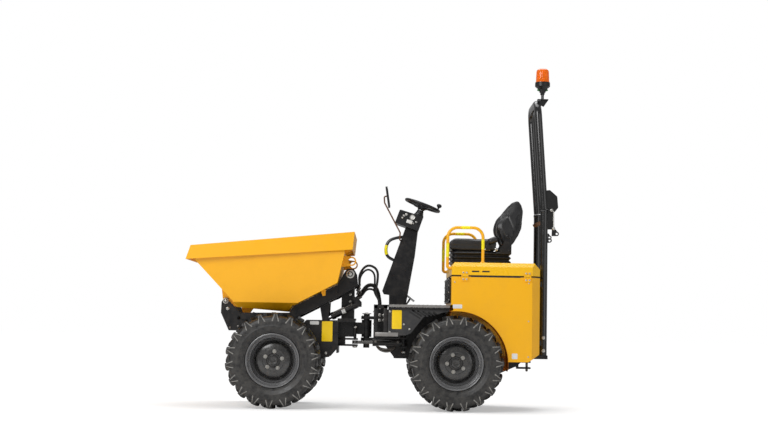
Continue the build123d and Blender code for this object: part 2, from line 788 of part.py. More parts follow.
for name, hand in (("body_side_left", -1), ("body_side_right", 1)):
    with BuildPart() as panel:
        add(body_shell.part)
        keep = sorted((hand * (body_half - body_wall - 0.5), hand * 600))
        block(500, body_bend_x - 1.5, keep[0], keep[1], -200, 800, Mode.INTERSECT)
        # arch liner and the inner wall beside the wheel
        reach = sorted((hand * 300, hand * (body_half - 1)))
        with BuildSketch(side(reach[1])) as liner:
            with Locations((rear_axle_x, 0)):
                Circle(arch_r + 5)
                Circle(arch_r, mode=Mode.SUBTRACT)
            with Locations((body_front_x + 300 + 6, 260)):
                Rectangle(600, 400, mode=Mode.INTERSECT)
        extrude(liner.sketch, amount=reach[1] - reach[0])
        wall = sorted((hand * 295, hand * 301))
        with BuildSketch(side(wall[1])) as inner_wall:
            with Locations((rear_axle_x, 0)):
                Circle(arch_r + 5)
            with Locations((body_front_x + 300 + 6, 260)):
                Rectangle(600, 400, mode=Mode.INTERSECT)
        extrude(inner_wall.sketch, amount=6)
        if hand < 0:
            for start, width in hinges:
                block(start, start + width, hinge_y, -body_half, hinge_h - 42, hinge_h - hinge_r - 1)
                block(start, start + width, hinge_y - 3, hinge_y, hinge_h - 42, hinge_h - 1)
                block(
                    start + knuckle - 1,
                    start + width - knuckle + 1,
                    hinge_y - 10,
                    -body_half - 0.01,
                    hinge_h - hinge_r - 2,
                    hinge_h,
                    Mode.SUBTRACT,
                )
                hinge_bar(start, start + knuckle - 1, hinge_r)
                hinge_bar(start + width - knuckle + 1, start + width, hinge_r)
                hinge_bar(start, start + width, hinge_pin_r)
    finish(name, panel.part)

with BuildPart() as body_rear:
    add(body_shell.part)
    block(body_bend_x - 1.2, 1400, -600, 600, -200, 800, Mode.INTERSECT)
finish("body_rear", body_rear.part)

with BuildPart() as body_front:
    block(
        body_front_x,
        body_front_x + body_wall,
        -body_half + body_wall + 1,
        body_half - body_wall - 1,
        foot_top_h + 3,
        body_top_h,
    )
finish("body_front", body_front.part)

with BuildPart() as cover_seal:
    with BuildSketch(level(body_top_h + seat_gap)):
        Polygon(*body_plan(1), align=None)
        Polygon(*body_plan(26), align=None, mode=Mode.SUBTRACT)
    extrude(amount=7)
finish("cover_seal", cover_seal.part)


# ---- seat cover: chamfered shell on the hinge along its left edge
cover_side = [
    (body_front_x, cover_low_h),
    (body_front_x, cover_top_h - 34),
    (body_front_x + 24, cover_top_h),
    (1271, cover_top_h),
    (body_rear_x, cover_top_h - 46),
    (body_rear_x, cover_low_h),
]
with BuildPart() as seat_cover:
    with BuildSketch(level(cover_low_h)):
        Polygon(*body_plan(0), align=None)
    extrude(amount=cover_top_h - cover_low_h)
    slab(cover_side, -600, 600, Mode.INTERSECT)
    with BuildSketch(cross(500)):
        Polygon(
            (-body_half, 0),
            (body_half, 0),
            (body_half, cover_top_h - 34),
            (body_half - 26, cover_top_h),
            (-body_half + 26, cover_top_h),
            (-body_half, cover_top_h - 34),
            align=None,
        )
    extrude(amount=1000, mode=Mode.INTERSECT)
    offset(amount=-body_wall, openings=faces().sort_by(Axis.Z)[0])

with BuildPart() as seat_cover_hinged:
    add(seat_cover.part)
    for start, width in hinges:
        block(start, start + width, hinge_y + 2, -body_half + 1, cover_low_h + 1, cover_low_h + 30)
        block(
            start + knuckle,
            start + width - knuckle,
            hinge_y - 1,
            hinge_y + 4,
            hinge_h,
            cover_low_h + 8,
        )
        hinge_bar(start + knuckle, start + width - knuckle, hinge_r)
        hinge_bar(start, start + width, hinge_pin_r + pin_gap, Mode.SUBTRACT)
finish("seat_cover", seat_cover_hinged.part)


# ---- seat: suspension base with hinge brackets, cushion and back
bellows_fold = 26.0
cushion_thick = 100.4
bracket_side = [(1010, 82), (1108, 82), (1108, 162), (1102, 225), (1080, 248), (1058, 225), (1040, 162)]
with BuildPart() as seat_base:
    for n in range(4):
        inset = 10 * (n % 2)
        low = cover_top_h + seat_gap + n * bellows_fold
        block(612 + inset, 1112 - inset, -seat_half + inset, seat_half - inset, low, low + bellows_fold)
    slabs([(x, cover_top_h + rise) for x, rise in bracket_side], seat_half + 1, seat_half + 9)
    for y_low in (seat_half - 12, -seat_half - 9):
        block(1010, 1100, y_low, y_low + 21, cover_top_h + 74, cover_top_h + 94)
finish("seat_base", seat_base.part)

cushion_low_h = cover_top_h + seat_gap + 4 * bellows_fold + seat_gap
with BuildPart() as seat_cushion:
    block(590, 1000, -seat_half + 5, seat_half - 5, cushion_low_h, cushion_low_h + cushion_thick)
    fillet(edges().filter_by(Axis.Y), 20)
finish("seat_cushion", seat_cushion.part)

back_side = [(1008, 275.4), (975, 192.4), (1010, 127.4), (1060, 0), (1112, 48.4), (1168, 143.4)]
back_side += [(1195, 238.4), (1206, 349.4), (1180, 432.4), (1140, 432.4)]
with BuildPart() as seat_back:
    slab([(x, cushion_low_h + rise) for x, rise in back_side], -seat_half + 5, seat_half - 5)
finish("seat_back", seat_back.part)


# ---- guard rails each side of the seat
rail_tall = 280.0
rail_foot_h = cover_top_h - 46
rail_top_h = cover_top_h + rail_tall
rail_path = [(body_front_x - seat_gap, rail_foot_h), (583, rail_foot_h), (583, rail_top_h)]
rail_path += [(864, rail_top_h), (864, cover_top_h + seat_gap)]


def bent_bar(points, r, bend):
    path = FilletPolyline(*[(x, y, axle_z + h) for x, y, h in points], radius=bend)
    with BuildPart() as bent:
        with BuildSketch(Plane(origin=path @ 0, z_dir=path % 0)):
            Circle(r)
        sweep(path=path)
    return bent.part


guard_rails = Compound(
    children=[bent_bar([(x, y, h) for x, h in rail_path], rail_tube_r, 18) for y in (-rail_y, rail_y)]
)
finish("guard_rails", guard_rails)
finish("mirror_rod", bent_bar(mirror_path, 6, 14) - mirror.part - steering_column.part)
finish("grab_handle", bent_bar(grab_path, 13, 30) - steering_column.part)


# ---- roll bar: fixed legs with fold brackets, folding hoop above
leg_bracket = [(leg_x + leg_r - 6, 1085), (1436, 1085), (1448, 1110), (fold_x + 22, fold_h)]
leg_bracket += [(fold_x + 10, fold_h + 20), (fold_x - 10, fold_h + 20), (leg_x + leg_r - 6, fold_h - 30)]
eye_r = 18.0
with BuildPart() as roll_bar_lower:
    for hand in (-1, 1):
        mid = hand * leg_y
        pin_z(leg_x, mid, leg_r, leg_low_h + seat_gap, leg_top_h)
        slab(leg_bracket, mid - 6, mid + 6)
        slab([(1430, 1086), (1460, 1086), (1478, 1062), (1462, 1032), (1428, 1032)], mid - 6, mid + 6)
        pin_y(1487 - eye_r, 1050, eye_r, mid - 6, mid + 6)
        pin_y(1487 - eye_r, 1050, eye_r / 2, mid - 6, mid + 6, Mode.SUBTRACT)
        slab([(leg_x + leg_r - 6, 1018), (1412, 1014), (1412, 978), (leg_x + leg_r - 6, 975)], mid - 5, mid + 5)
        pin_y(1412, 996, eye_r, mid - 5, mid + 5)
        pin_y(1412, 996, eye_r / 2, mid - 6, mid + 6, Mode.SUBTRACT)
        pin_y(fold_x, fold_h, fold_pin_r + pin_gap, mid - 7, mid + 7, Mode.SUBTRACT)
        # feet against the body's rear panel
        for h_low in (150, 620):
            block(body_rear_x + seat_gap, leg_x, mid - 26, mid + 26, h_low, h_low + 40)
    block(leg_x - 12, leg_x + 12, -leg_y, leg_y, 640, 680)
finish("roll_bar_lower", roll_bar_lower.part)

lean = math.tan(math.radians(roll_lean))
joint_h = leg_top_h + side_gap
top_x = leg_x - lean * (roll_top_h - joint_h)
hoop = [(leg_x, -leg_y, joint_h), (top_x, -leg_y, roll_top_h), (top_x, leg_y, roll_top_h)]
hoop += [(leg_x, leg_y, joint_h)]
upper_bracket = [(leg_x + leg_r - 14, 1262), (leg_x + leg_r - 20, 1400), (1410, 1404), (1470, 1352)]
upper_bracket += [(1478, 1262), (1452, 1228), (fold_x + 12, fold_h - 22), (fold_x - 14, fold_h - 20)]
upper_bracket += [(fold_x - 20, fold_h + 10)]
hoop_tube = bent_bar(hoop, leg_r, 105)
with BuildPart() as roll_bar_upper:
    add(hoop_tube)
    for mid in (-leg_y, leg_y):
        for y_low in (mid - 16, mid + 7):
            slab(upper_bracket, y_low, y_low + 9)
        pin_y(fold_x, fold_h, fold_pin_r, mid - 20, mid + 20)
    # beacon bracket behind the top tube
    slab([(top_x, 2120), (top_x, 2142), (1398, 2156), (1398, 2148), (1362, 2096)], beacon_y - 5, beacon_y + 5)
    block(beacon_x - 42, 1398, beacon_y - 24, beacon_y + 24, 2148, 2156)
    pin_z(beacon_x, beacon_y, 12, 2155, 2212)
finish("roll_bar_upper", roll_bar_upper.part)

lock_x = 1440.0
with BuildPart() as lock_rods:
    for hand in (-1, 1):
        y = hand * (leg_y + 26)
        ends = [hand * (leg_y + 6.3), y]
        pin_z(lock_x, y, 5, 1100, 1230)
        with Locations((lock_x, y, axle_z + 1092)):
            Sphere(14)
        pin_y(lock_x, 1112, 6, min(ends), max(ends))
finish("lock_rods", lock_rods.part)


# ---- beacon: base with its socket, ribbed amber lens
with BuildPart() as beacon_base:
    with BuildSketch(Plane(origin=(beacon_x, beacon_y, axle_z), x_dir=(1, 0, 0), z_dir=(0, -1, 0))):
        Polygon((0, 2212.3), (24, 2212.3), (30, 2236), (61, 2262), (61, 2288), (54, 2292), (0, 2292), align=None)
    revolve(axis=Axis((beacon_x, beacon_y, 0), (0, 0, 1)))
finish("beacon_base", beacon_base.part)

with BuildPart() as beacon_lens:
    with BuildSketch(Plane(origin=(beacon_x, beacon_y, axle_z), x_dir=(1, 0, 0), z_dir=(0, -1, 0))):
        with BuildLine():
            Polyline((0, 2292.3), (57, 2292.3), (52, 2386), (47, 2398), (36, 2405), (0, 2408), (0, 2292.3))
        make_face()
    revolve(axis=Axis((beacon_x, beacon_y, 0), (0, 0, 1)))
finish("beacon_lens", beacon_lens.part)


# ---- valve block on the bulkhead, with the hoses that cross the centre pivot
port_x = 52.0
port_top_h = 396.0
with BuildPart() as valve_block:
    block(34 + seat_gap, 108, -rail_in + seat_gap, rail_in - seat_gap, 300, 380)
    for y in (-44, -20, 4, 36):
        pin_z(port_x, y, 9, 379, port_top_h)
finish("valve_block", valve_block.part)

# radius, place across the machine, bend radius, then the points of the side view
hose_ends = [(port_x, 480), (port_x, port_top_h + seat_gap)]
hose_routes = [
    (10, -44, 40, [(-132, 560), (-116, 600), (-128, 700), (-62, 772), (22, 742), (26, 640), (8, 560)]),
    (8, -20, 34, [(-134, 590), (-118, 620), (-118, 690), (-60, 742), (0, 716), (6, 620), (-2, 560)]),
    (9, 4, 30, [(-134, 500), (-106, 520), (-60, 580), (10, 570)]),
    (16, 36, 40, [(-126, 530), (-100, 560), (-50, 612), (20, 600)]),
]
hoses = []
for r, y, bend, points in hose_routes:
    hoses.append(bent_bar([(x, y, h) for x, h in points + hose_ends], r, bend))
finish("hydraulic_hoses", Compound(children=hoses))
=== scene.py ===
import json
import math
import bmesh
import bpy
from mathutils import Matrix, Vector


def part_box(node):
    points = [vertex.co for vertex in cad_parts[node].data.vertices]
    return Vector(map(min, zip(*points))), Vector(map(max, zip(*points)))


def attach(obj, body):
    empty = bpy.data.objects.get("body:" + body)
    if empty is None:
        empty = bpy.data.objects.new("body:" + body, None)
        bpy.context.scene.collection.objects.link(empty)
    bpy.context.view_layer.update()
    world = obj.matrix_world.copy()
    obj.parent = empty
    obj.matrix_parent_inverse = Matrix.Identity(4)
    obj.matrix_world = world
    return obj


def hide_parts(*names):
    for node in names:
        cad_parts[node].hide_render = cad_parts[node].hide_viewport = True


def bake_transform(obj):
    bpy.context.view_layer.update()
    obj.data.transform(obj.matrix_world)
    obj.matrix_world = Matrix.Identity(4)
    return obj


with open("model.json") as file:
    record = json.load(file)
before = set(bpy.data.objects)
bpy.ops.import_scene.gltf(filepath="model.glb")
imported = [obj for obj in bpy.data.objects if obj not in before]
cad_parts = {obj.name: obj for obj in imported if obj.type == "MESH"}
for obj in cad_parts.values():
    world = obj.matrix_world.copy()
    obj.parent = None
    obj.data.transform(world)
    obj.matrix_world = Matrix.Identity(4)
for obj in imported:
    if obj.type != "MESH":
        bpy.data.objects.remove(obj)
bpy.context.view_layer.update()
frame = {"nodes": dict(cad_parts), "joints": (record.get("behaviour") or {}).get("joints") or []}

nodes = frame["nodes"]
joints = {j["name"]: j for j in frame["joints"]}
axleZ = joints["wheel_rear_left_spin"]["pos_m"][2]
print("frame loaded:", len(nodes), "nodes")


def at(x, y, h):  # millimetres, with the height above the axle line
    return Vector((x / 1000, y / 1000, h / 1000 + axleZ))


def rotated(degrees, axis):
    return Matrix.Rotation(math.radians(degrees), 4, axis)


# camera, floor and light
cameraSetup = {"place": (0.071, -11.675, 0.670), "lens": 66.4, "pitch": 94.4, "roll": 1.0}
camData = bpy.data.cameras.new("camera")
camData.lens = cameraSetup["lens"]
camData.sensor_width = 36
camera = bpy.data.objects.new("camera", camData)
turn = rotated(cameraSetup["pitch"], "X") @ rotated(cameraSetup["roll"], "Z")
camera.matrix_world = Matrix.Translation(cameraSetup["place"]) @ turn
bpy.context.scene.collection.objects.link(camera)
bpy.context.scene.camera = camera
bpy.context.scene.view_settings.view_transform = "Standard"

studio = {"glowFrom": 1.5, "glowTo": 9.0, "world": 0.34, "key": 290, "fill": 45, "top": 230, "glowNear": 0.36,
    "glowFar": 0.72, "floor": (0.86, 0.86, 0.86, 1)}


def addLight(name, place, aim, size, power):
    data = bpy.data.lights.new(name, "AREA")
    data.size = size
    data.energy = power
    lamp = bpy.data.objects.new(name, data)
    lamp.location = place
    lamp.rotation_euler = (Vector(aim) - Vector(place)).to_track_quat("-Z", "Y").to_euler()
    bpy.context.scene.collection.objects.link(lamp)


addLight("keySoftbox", (-3.5, -6.0, 4.6), (0, 0, 0.8), 4.0, studio["key"])
addLight("fillSoftbox", (5.0, -5.0, 2.4), (0, 0, 0.9), 4.0, studio["fill"])
addLight("topSoftbox", (0.5, 1.0, 6.5), (0, 0, 0.6), 5.0, studio["top"])


def newNode(tree, kind, values=None, **settings):
    made = tree.nodes.new(kind)
    for key, value in settings.items():
        setattr(made, key, value)
    for key, value in (values or {}).items():
        made.inputs[key].default_value = value
    return made


world = bpy.data.worlds.new("studio")
bpy.context.scene.world = world
world.use_nodes = True
tree = world.node_tree
tree.nodes.clear()
out = newNode(tree, "ShaderNodeOutputWorld")
seen = newNode(tree, "ShaderNodeBackground", {"Color": (1, 1, 1, 1), "Strength": 1.0})
lit = newNode(tree, "ShaderNodeBackground", {"Color": (1, 1, 1, 1), "Strength": studio["world"]})
pick = newNode(tree, "ShaderNodeMixShader")
path = newNode(tree, "ShaderNodeLightPath")
tree.links.new(path.outputs["Is Camera Ray"], pick.inputs[0])
tree.links.new(lit.outputs[0], pick.inputs[1])
tree.links.new(seen.outputs[0], pick.inputs[2])
tree.links.new(pick.outputs[0], out.inputs[0])

floorMesh = bpy.data.meshes.new("floor")
reach = 60
floorMesh.from_pydata([(-reach, -reach, 0), (reach, -reach, 0), (reach, reach, 0), (-reach, reach, 0)], [],
    [(0, 1, 2, 3)])
floor = bpy.data.objects.new("floor", floorMesh)
bpy.context.scene.collection.objects.link(floor)
floorPaint = bpy.data.materials.new("studioFloor")
floorPaint.use_nodes = True
tree = floorPaint.node_tree
matt = tree.nodes["Principled BSDF"]
matt.inputs["Base Color"].default_value = studio["floor"]
matt.inputs["Roughness"].default_value = 0.9
matt.inputs["Specular IOR Level"].default_value = 0.1
glow = newNode(tree, "ShaderNodeEmission", {"Color": (1, 1, 1, 1)})
path = newNode(tree, "ShaderNodeLightPath")
level = newNode(tree, "ShaderNodeMath", operation="MULTIPLY")
spot = newNode(tree, "ShaderNodeTexCoord")
away = newNode(tree, "ShaderNodeVectorMath", operation="LENGTH")
fade = newNode(tree, "ShaderNodeMapRange", {"From Min": studio["glowFrom"], "From Max": studio["glowTo"],
    "To Min": studio["glowNear"], "To Max": studio["glowFar"]})
tree.links.new(spot.outputs["Object"], away.inputs[0])
tree.links.new(away.outputs["Value"], fade.inputs["Value"])
tree.links.new(fade.outputs["Result"], level.inputs[1])
both = newNode(tree, "ShaderNodeAddShader")
tree.links.new(path.outputs["Is Camera Ray"], level.inputs[0])
tree.links.new(level.outputs[0], glow.inputs["Strength"])
tree.links.new(matt.outputs[0], both.inputs[0])
tree.links.new(glow.outputs[0], both.inputs[1])
tree.links.new(both.outputs[0], tree.nodes["Material Output"].inputs["Surface"])
floorMesh.materials.append(floorPaint)
print("studio ready")


def look(color, soil, soilShare, patch, rough, grain, **extra):
    return dict(color=color, soil=soil, soilShare=soilShare, patch=patch, rough=rough, grain=grain, **extra)


# colour, colour of soil or wear, its share, scale of its patches,
# roughness from and to, scale and depth of the grain
finishes = {"skipPaint": look((1.0, 0.475, 0.0), (0.62, 0.25, 0.01), 0.12, 6, (0.34, 0.46), (60, 0.03),
    coat=0.1), "bodyPaint": look((1.0, 0.49, 0.0), (0.60, 0.26, 0.01), 0.10, 7, (0.30, 0.42), (70, 0.02),
    coat=0.15), "coverPaint": look((1.0, 0.55, 0.002), (0.8, 0.36, 0.01), 0.06, 8, (0.24, 0.36), (60, 0.02),
    coat=0.2), "steelPaint": look((0.008, 0.008, 0.009), (0.08, 0.064, 0.05), 0.24, 16, (0.24, 0.5),
    (120, 0.10), coat=0.05, shine=0.36), "barPaint": look((0.006, 0.006, 0.006), (0.03, 0.028, 0.026), 0.18, 22,
    (0.12, 0.28), (90, 0.03), coat=0.6), "rimPaint": look((0.016, 0.016, 0.017), (0.15, 0.14, 0.125), 0.26, 20,
    (0.14, 0.36), (160, 0.06), coat=0.7), "tyreRubber": look((0.009, 0.009, 0.010), (0.13, 0.122, 0.11), 0.36,
    # tyre lug edge finish: light grey painted highlight for the lug edges
    26, (0.28, 0.6), (260, 0.3), shine=0.45), "tyreLugHighlight": look((0.30, 0.29, 0.27), (0.06, 0.056, 0.05), 0.5, 50,
    (0.5, 0.8), (300, 0.2)), "panelPaint": look((0.034, 0.034, 0.036), (0.11, 0.095, 0.08), 0.25, 16,
    # rim barrel finish: its lighter grey is a painted reflection of the white floor on the glossy dark rim
    # paint
    (0.3, 0.5), (120, 0.08), coat=0.1), "rimBarrelReflection": look((0.15, 0.15, 0.155), (0.05, 0.046, 0.042), 0.45, 24,
    # arch liner finish: orange-brown is the body's yellow with painted shade
    (0.16, 0.36), (160, 0.05), coat=0.5), "archLinerShade": look((0.80, 0.22, 0.004), (0.25, 0.08, 0.012), 0.4, 12,
    (0.4, 0.6), (90, 0.05)), "rustBrown": look((0.17, 0.085, 0.045), (0.06, 0.03, 0.018), 0.6, 50, (0.4, 0.65),
    (260, 0.2), metal=0.4), "skipShade": look((0.40, 0.13, 0.004), (0.16, 0.06, 0.01), 0.5, 12, (0.4, 0.6),
    (90, 0.05)), "greasedRod": look((0.16, 0.155, 0.15), (0.03, 0.027, 0.024), 0.6, 30, (0.2, 0.4), (200, 0.05),
    metal=0.9), "rodChrome": look((0.72, 0.72, 0.74), (0.35, 0.34, 0.33), 0.15, 30, (0.08, 0.2), (200, 0.02),
    metal=1.0), "zincSteel": look((0.58, 0.57, 0.54), (0.30, 0.24, 0.17), 0.3, 60, (0.25, 0.5), (300, 0.1),
    metal=1.0), "darkSteel": look((0.20, 0.19, 0.18), (0.11, 0.075, 0.05), 0.5, 40, (0.35, 0.6), (260, 0.15),
    metal=0.9), "castIron": look((0.05, 0.05, 0.05), (0.11, 0.08, 0.06), 0.4, 20, (0.5, 0.8), (180, 0.3),
    metal=0.3), "blackPlastic": look((0.010, 0.010, 0.011), (0.05, 0.047, 0.043), 0.2, 20, (0.3, 0.5),
    (420, 0.10), shine=0.4), "seatVinyl": look((0.012, 0.012, 0.013), (0.05, 0.047, 0.043), 0.25, 12,
    (0.36, 0.55), (520, 0.18), coat=0.1), "sealRubber": look((0.010, 0.010, 0.010), (0.04, 0.037, 0.034), 0.3,
    24, (0.5, 0.75), (300, 0.12)), "hoseRubber": look((0.012, 0.012, 0.012), (0.06, 0.052, 0.045), 0.3, 30,
    (0.4, 0.65), (700, 0.2)), "chequerSteel": look((0.33, 0.32, 0.31), (0.16, 0.13, 0.10), 0.45, 20,
    (0.35, 0.6), (200, 0.15), metal=0.7), "labelWhite": look((0.80, 0.80, 0.78), (0.5, 0.47, 0.42), 0.2, 40,
    (0.3, 0.45), (200, 0.02)), "labelYellow": look((1.0, 0.66, 0.0), (0.75, 0.46, 0.02), 0.12, 40, (0.35, 0.5),
    (200, 0.02)), "tapeYellow": look((1.0, 0.86, 0.0), (0.8, 0.55, 0.01), 0.15, 50, (0.3, 0.5), (260, 0.03)),
    "lugGreen": look((0.05, 0.20, 0.06), (0.03, 0.08, 0.03), 0.3, 60, (0.4, 0.6), (260, 0.05)),
    "reflectorYellow": look((1.0, 0.62, 0.0), (1.0, 0.4, 0.0), 0.2, 60, (0.15, 0.3), (200, 0.02)),
    "mirrorGlass": look((0.85, 0.87, 0.88), (0.6, 0.6, 0.6), 0.08, 30, (0.03, 0.1), (100, 0.0), metal=1.0), }
soilHeight = {"low": 0.05, "high": 1.3}


def makeFinish(name, look):
    mat = bpy.data.materials.new(name)
    mat.use_nodes = True
    tree = mat.node_tree
    link = tree.links.new
    shader = tree.nodes["Principled BSDF"]
    shader.inputs["Metallic"].default_value = look.get("metal", 0.0)
    shader.inputs["Coat Weight"].default_value = look.get("coat", 0.0)
    shader.inputs["Coat Roughness"].default_value = 0.12
    shader.inputs["Specular IOR Level"].default_value = look.get("shine", 0.5)
    coords = newNode(tree, "ShaderNodeTexCoord")
    patches = newNode(tree, "ShaderNodeTexNoise", {"Scale": look["patch"], "Detail": 7.0, "Roughness": 0.62})
    specks = newNode(tree, "ShaderNodeTexNoise", {"Scale": look["patch"] * 11, "Detail": 4.0})
    grain = newNode(tree, "ShaderNodeTexNoise", {"Scale": look["grain"][0], "Detail": 3.0})
    for texture in (patches, specks, grain):
        link(coords.outputs["Object"], texture.inputs["Vector"])
    height = newNode(tree, "ShaderNodeSeparateXYZ")
    link(coords.outputs["Object"], height.inputs[0])
    low = newNode(tree, "ShaderNodeMapRange", {"From Min": soilHeight["low"], "From Max": soilHeight["high"],
        "To Min": 0.16, "To Max": 0.0})
    link(height.outputs["Z"], low.inputs["Value"])
    blotch = newNode(tree, "ShaderNodeMath", {1: 0.35}, operation="MULTIPLY_ADD")
    link(specks.outputs["Fac"], blotch.inputs[0])
    link(patches.outputs["Fac"], blotch.inputs[2])
    total = newNode(tree, "ShaderNodeMath", operation="ADD")
    link(blotch.outputs[0], total.inputs[0])
    link(low.outputs["Result"], total.inputs[1])
    spread = newNode(tree, "ShaderNodeMapRange", {"From Min": 0.66, "From Max": 0.98, "To Min": 0.0,
        "To Max": look["soilShare"]})
    link(total.outputs[0], spread.inputs["Value"])
    mix = newNode(tree, "ShaderNodeMix", data_type="RGBA")
    mix.inputs[6].default_value = (*look["color"], 1)
    mix.inputs[7].default_value = (*look["soil"], 1)
    link(spread.outputs["Result"], mix.inputs[0])
    link(mix.outputs[2], shader.inputs["Base Color"])
    rough = newNode(tree, "ShaderNodeMapRange", {"From Min": 0.35, "From Max": 0.7, "To Min": look["rough"][0],
        "To Max": look["rough"][1]})
    link(patches.outputs["Fac"], rough.inputs["Value"])
    link(rough.outputs["Result"], shader.inputs["Roughness"])
    if look["grain"][1]:
        bump = newNode(tree, "ShaderNodeBump", {"Strength": look["grain"][1], "Distance": 0.002})
        link(grain.outputs["Fac"], bump.inputs["Height"])
        link(bump.outputs["Normal"], shader.inputs["Normal"])
    return mat


paint = {name: makeFinish(name, look) for name, look in finishes.items()}

# amber lens: tinted clear plastic that still glows a little in soft light
lensLook = {"color": (1.0, 0.22, 0.0, 1), "clear": 0.55, "glow": 0.12}
amber = makeFinish("amberLens", look((1.0, 0.20, 0.0), (0.8, 0.12, 0.0), 0.2, 30, (0.08, 0.18), (90, 0.0)))
amberShader = amber.node_tree.nodes["Principled BSDF"]
amberShader.inputs["Transmission Weight"].default_value = lensLook["clear"]
amberShader.inputs["Emission Color"].default_value = lensLook["color"]
amberShader.inputs["Emission Strength"].default_value = lensLook["glow"]
paint["amberLens"] = amber

nodeFinish = {"skipPaint": ["skip"], "bodyPaint": ["body_side_left", "body_side_right", "body_rear",
    "body_front", "guard_rails"], "coverPaint": ["seat_cover"],
    "steelPaint": ["front_chassis", "tower", "front_axle", "rear_axle", "lift_frame", "rear_chassis",
    "footplate", "side_steps", "steering_column", "tow_clevis", "lift_ram_barrels", "tip_ram_barrel",
    "steering_ram_barrel"], "barPaint": ["roll_bar_lower", "roll_bar_upper", "grab_handle"],
    "rustBrown": ["mirror_rod"], "panelPaint": ["side_panels"],
    "rodChrome": ["lift_ram_rods", "tip_ram_rod", "wheel_shaft"], "greasedRod": ["steering_ram_rod"],
    "zincSteel": ["lock_rods"], "castIron": ["engine_block", "valve_block"],
    "blackPlastic": ["dash_box", "mirror", "beacon_base", "steering_wheel", "seat_base"],
    "seatVinyl": ["seat_cushion", "seat_back"], "sealRubber": ["cover_seal"], "hoseRubber": ["hydraulic_hoses"],
    "amberLens": ["beacon_lens"], "rimPaint": [n for n in nodes if n.startswith("rim_")],
    "tyreRubber": [n for n in nodes if n.startswith("tyre_")], }
for finish, names in nodeFinish.items():
    for name in names:
        nodes[name].data.materials.clear()
        nodes[name].data.materials.append(paint[finish])
print("finishes made:", len(paint))


# shared mesh tools
def showMesh(name, bm, body, finish, smooth=30):
    mesh = bpy.data.meshes.new(name)
    bmesh.ops.recalc_face_normals(bm, faces=bm.faces)
    bm.to_mesh(mesh)
    bm.free()
    mesh.materials.append(paint[finish])
    piece = bpy.data.objects.new(name, mesh)
    bpy.context.scene.collection.objects.link(piece)
    for face in mesh.polygons:
        face.use_smooth = True
    mesh.set_sharp_from_angle(angle=math.radians(smooth))
    if body:
        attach(piece, body)
    return piece


def facingSide(place, hand):  # local Z points out of the left side at -1 and out of the right side at 1
    return Matrix.Translation(place) @ rotated(-90 * hand, "X")


def mm(*pairs):
    return [(a / 1000, b / 1000) for a, b in pairs]


def sideOutline(*points):  # (x, height above the axle line) in millimetres
    return [(x / 1000, h / 1000 + axleZ) for x, h in points]


def bridge(bm, rings, closed=True):  # quads between each ring of points and the next
    count = len(rings[0])
    for a, b in zip(rings, rings[1:]):
        for k in range(count if closed else count - 1):
            m = (k + 1) % count
            bm.faces.new([a[k], a[m], b[m], b[k]])


def axisFrame(place, axis, spin=0.0):  # local Z along the axis
    return Matrix.Translation(place) @ Vector(axis).to_track_quat("Z",
        "Y").to_matrix().to_4x4() @ Matrix.Rotation(spin, 4, "Z")


def addTurned(bm, profile, steps, placed, closed=False):  # profile: (radius, along the axis)
    rings = []
    for i in range(steps):
        c, s = math.cos(2 * math.pi * i / steps), math.sin(2 * math.pi * i / steps)
        rings.append([bm.verts.new(placed @ Vector((r * c, r * s, d))) for r, d in profile])
    count = len(profile)
    for i in range(steps):
        a, b = rings[i], rings[(i + 1) % steps]
        for k in range(count if closed else count - 1):
            m = (k + 1) % count
            corners = [a[k], b[k], b[m], a[m]]
            if profile[k][0] < 1e-6:
                corners = [a[k], b[m], a[m]]
            elif profile[m][0] < 1e-6:
                corners = [a[k], b[k], a[m]]
            bm.faces.new(corners)
    bmesh.ops.remove_doubles(bm, verts=[v for ring in rings for v in ring], dist=1e-6)


def addBox(bm, low, high, soft=0.0, placed=Matrix.Identity(4), steps=2):
    made = bmesh.ops.create_cube(bm, size=1.0)["verts"]
    size = [h - l for l, h in zip(low, high)]
    mid = [(h + l) / 2 for l, h in zip(low, high)]
    bmesh.ops.transform(bm, matrix=placed @ Matrix.Translation(mid) @ Matrix.Diagonal((*size, 1)), verts=made)
    if soft:
        edges = list(dict.fromkeys(e for v in made for e in v.link_edges))
        bmesh.ops.bevel(bm, geom=edges, offset=soft, segments=steps, affect="EDGES", profile=0.5)


def addPlate(bm, outline, thick, placed, soft=0.0):  # outline in local XY, thickness along local Z
    low = [bm.verts.new(placed @ Vector((x, y, 0))) for x, y in outline]
    high = [bm.verts.new(placed @ Vector((x, y, thick))) for x, y in outline]
    count = len(outline)
    bm.faces.new(low[::-1])
    top = bm.faces.new(high)
    for k in range(count):
        bm.faces.new([low[k], low[(k + 1) % count], high[(k + 1) % count], high[k]])
    if soft:
        bmesh.ops.bevel(bm, geom=list(top.edges), offset=soft, segments=2, affect="EDGES", profile=0.5)


def addBolt(bm, place, axis, size=0.008, washer=True, stud=False, spin=0.3):
    placed = axisFrame(place, axis, spin)
    base = 0.0
    if washer:
        addTurned(bm, [(0, 0), (size * 1.15, 0), (size * 1.15, size * 0.16), (size * 1.05, size * 0.24),
            (0, size * 0.24)], 20, placed)
        base = size * 0.24
    corners = []
    for z, r in ((base, size * 0.86), (base + size * 0.5, size * 0.86), (base + size * 0.62, size * 0.72)):
        corners.append([bm.verts.new(placed @ Vector((r * math.cos(k * math.pi / 3),
            r * math.sin(k * math.pi / 3), z))) for k in range(6)])
    bridge(bm, corners)
    bm.faces.new(corners[-1])
    if stud:
        z = base + size * 0.6
        addTurned(bm, [(size * 0.45, z - size * 0.2), (size * 0.45, z + size * 0.5),
            (size * 0.36, z + size * 0.62), (0, z + size * 0.62)], 16, placed)


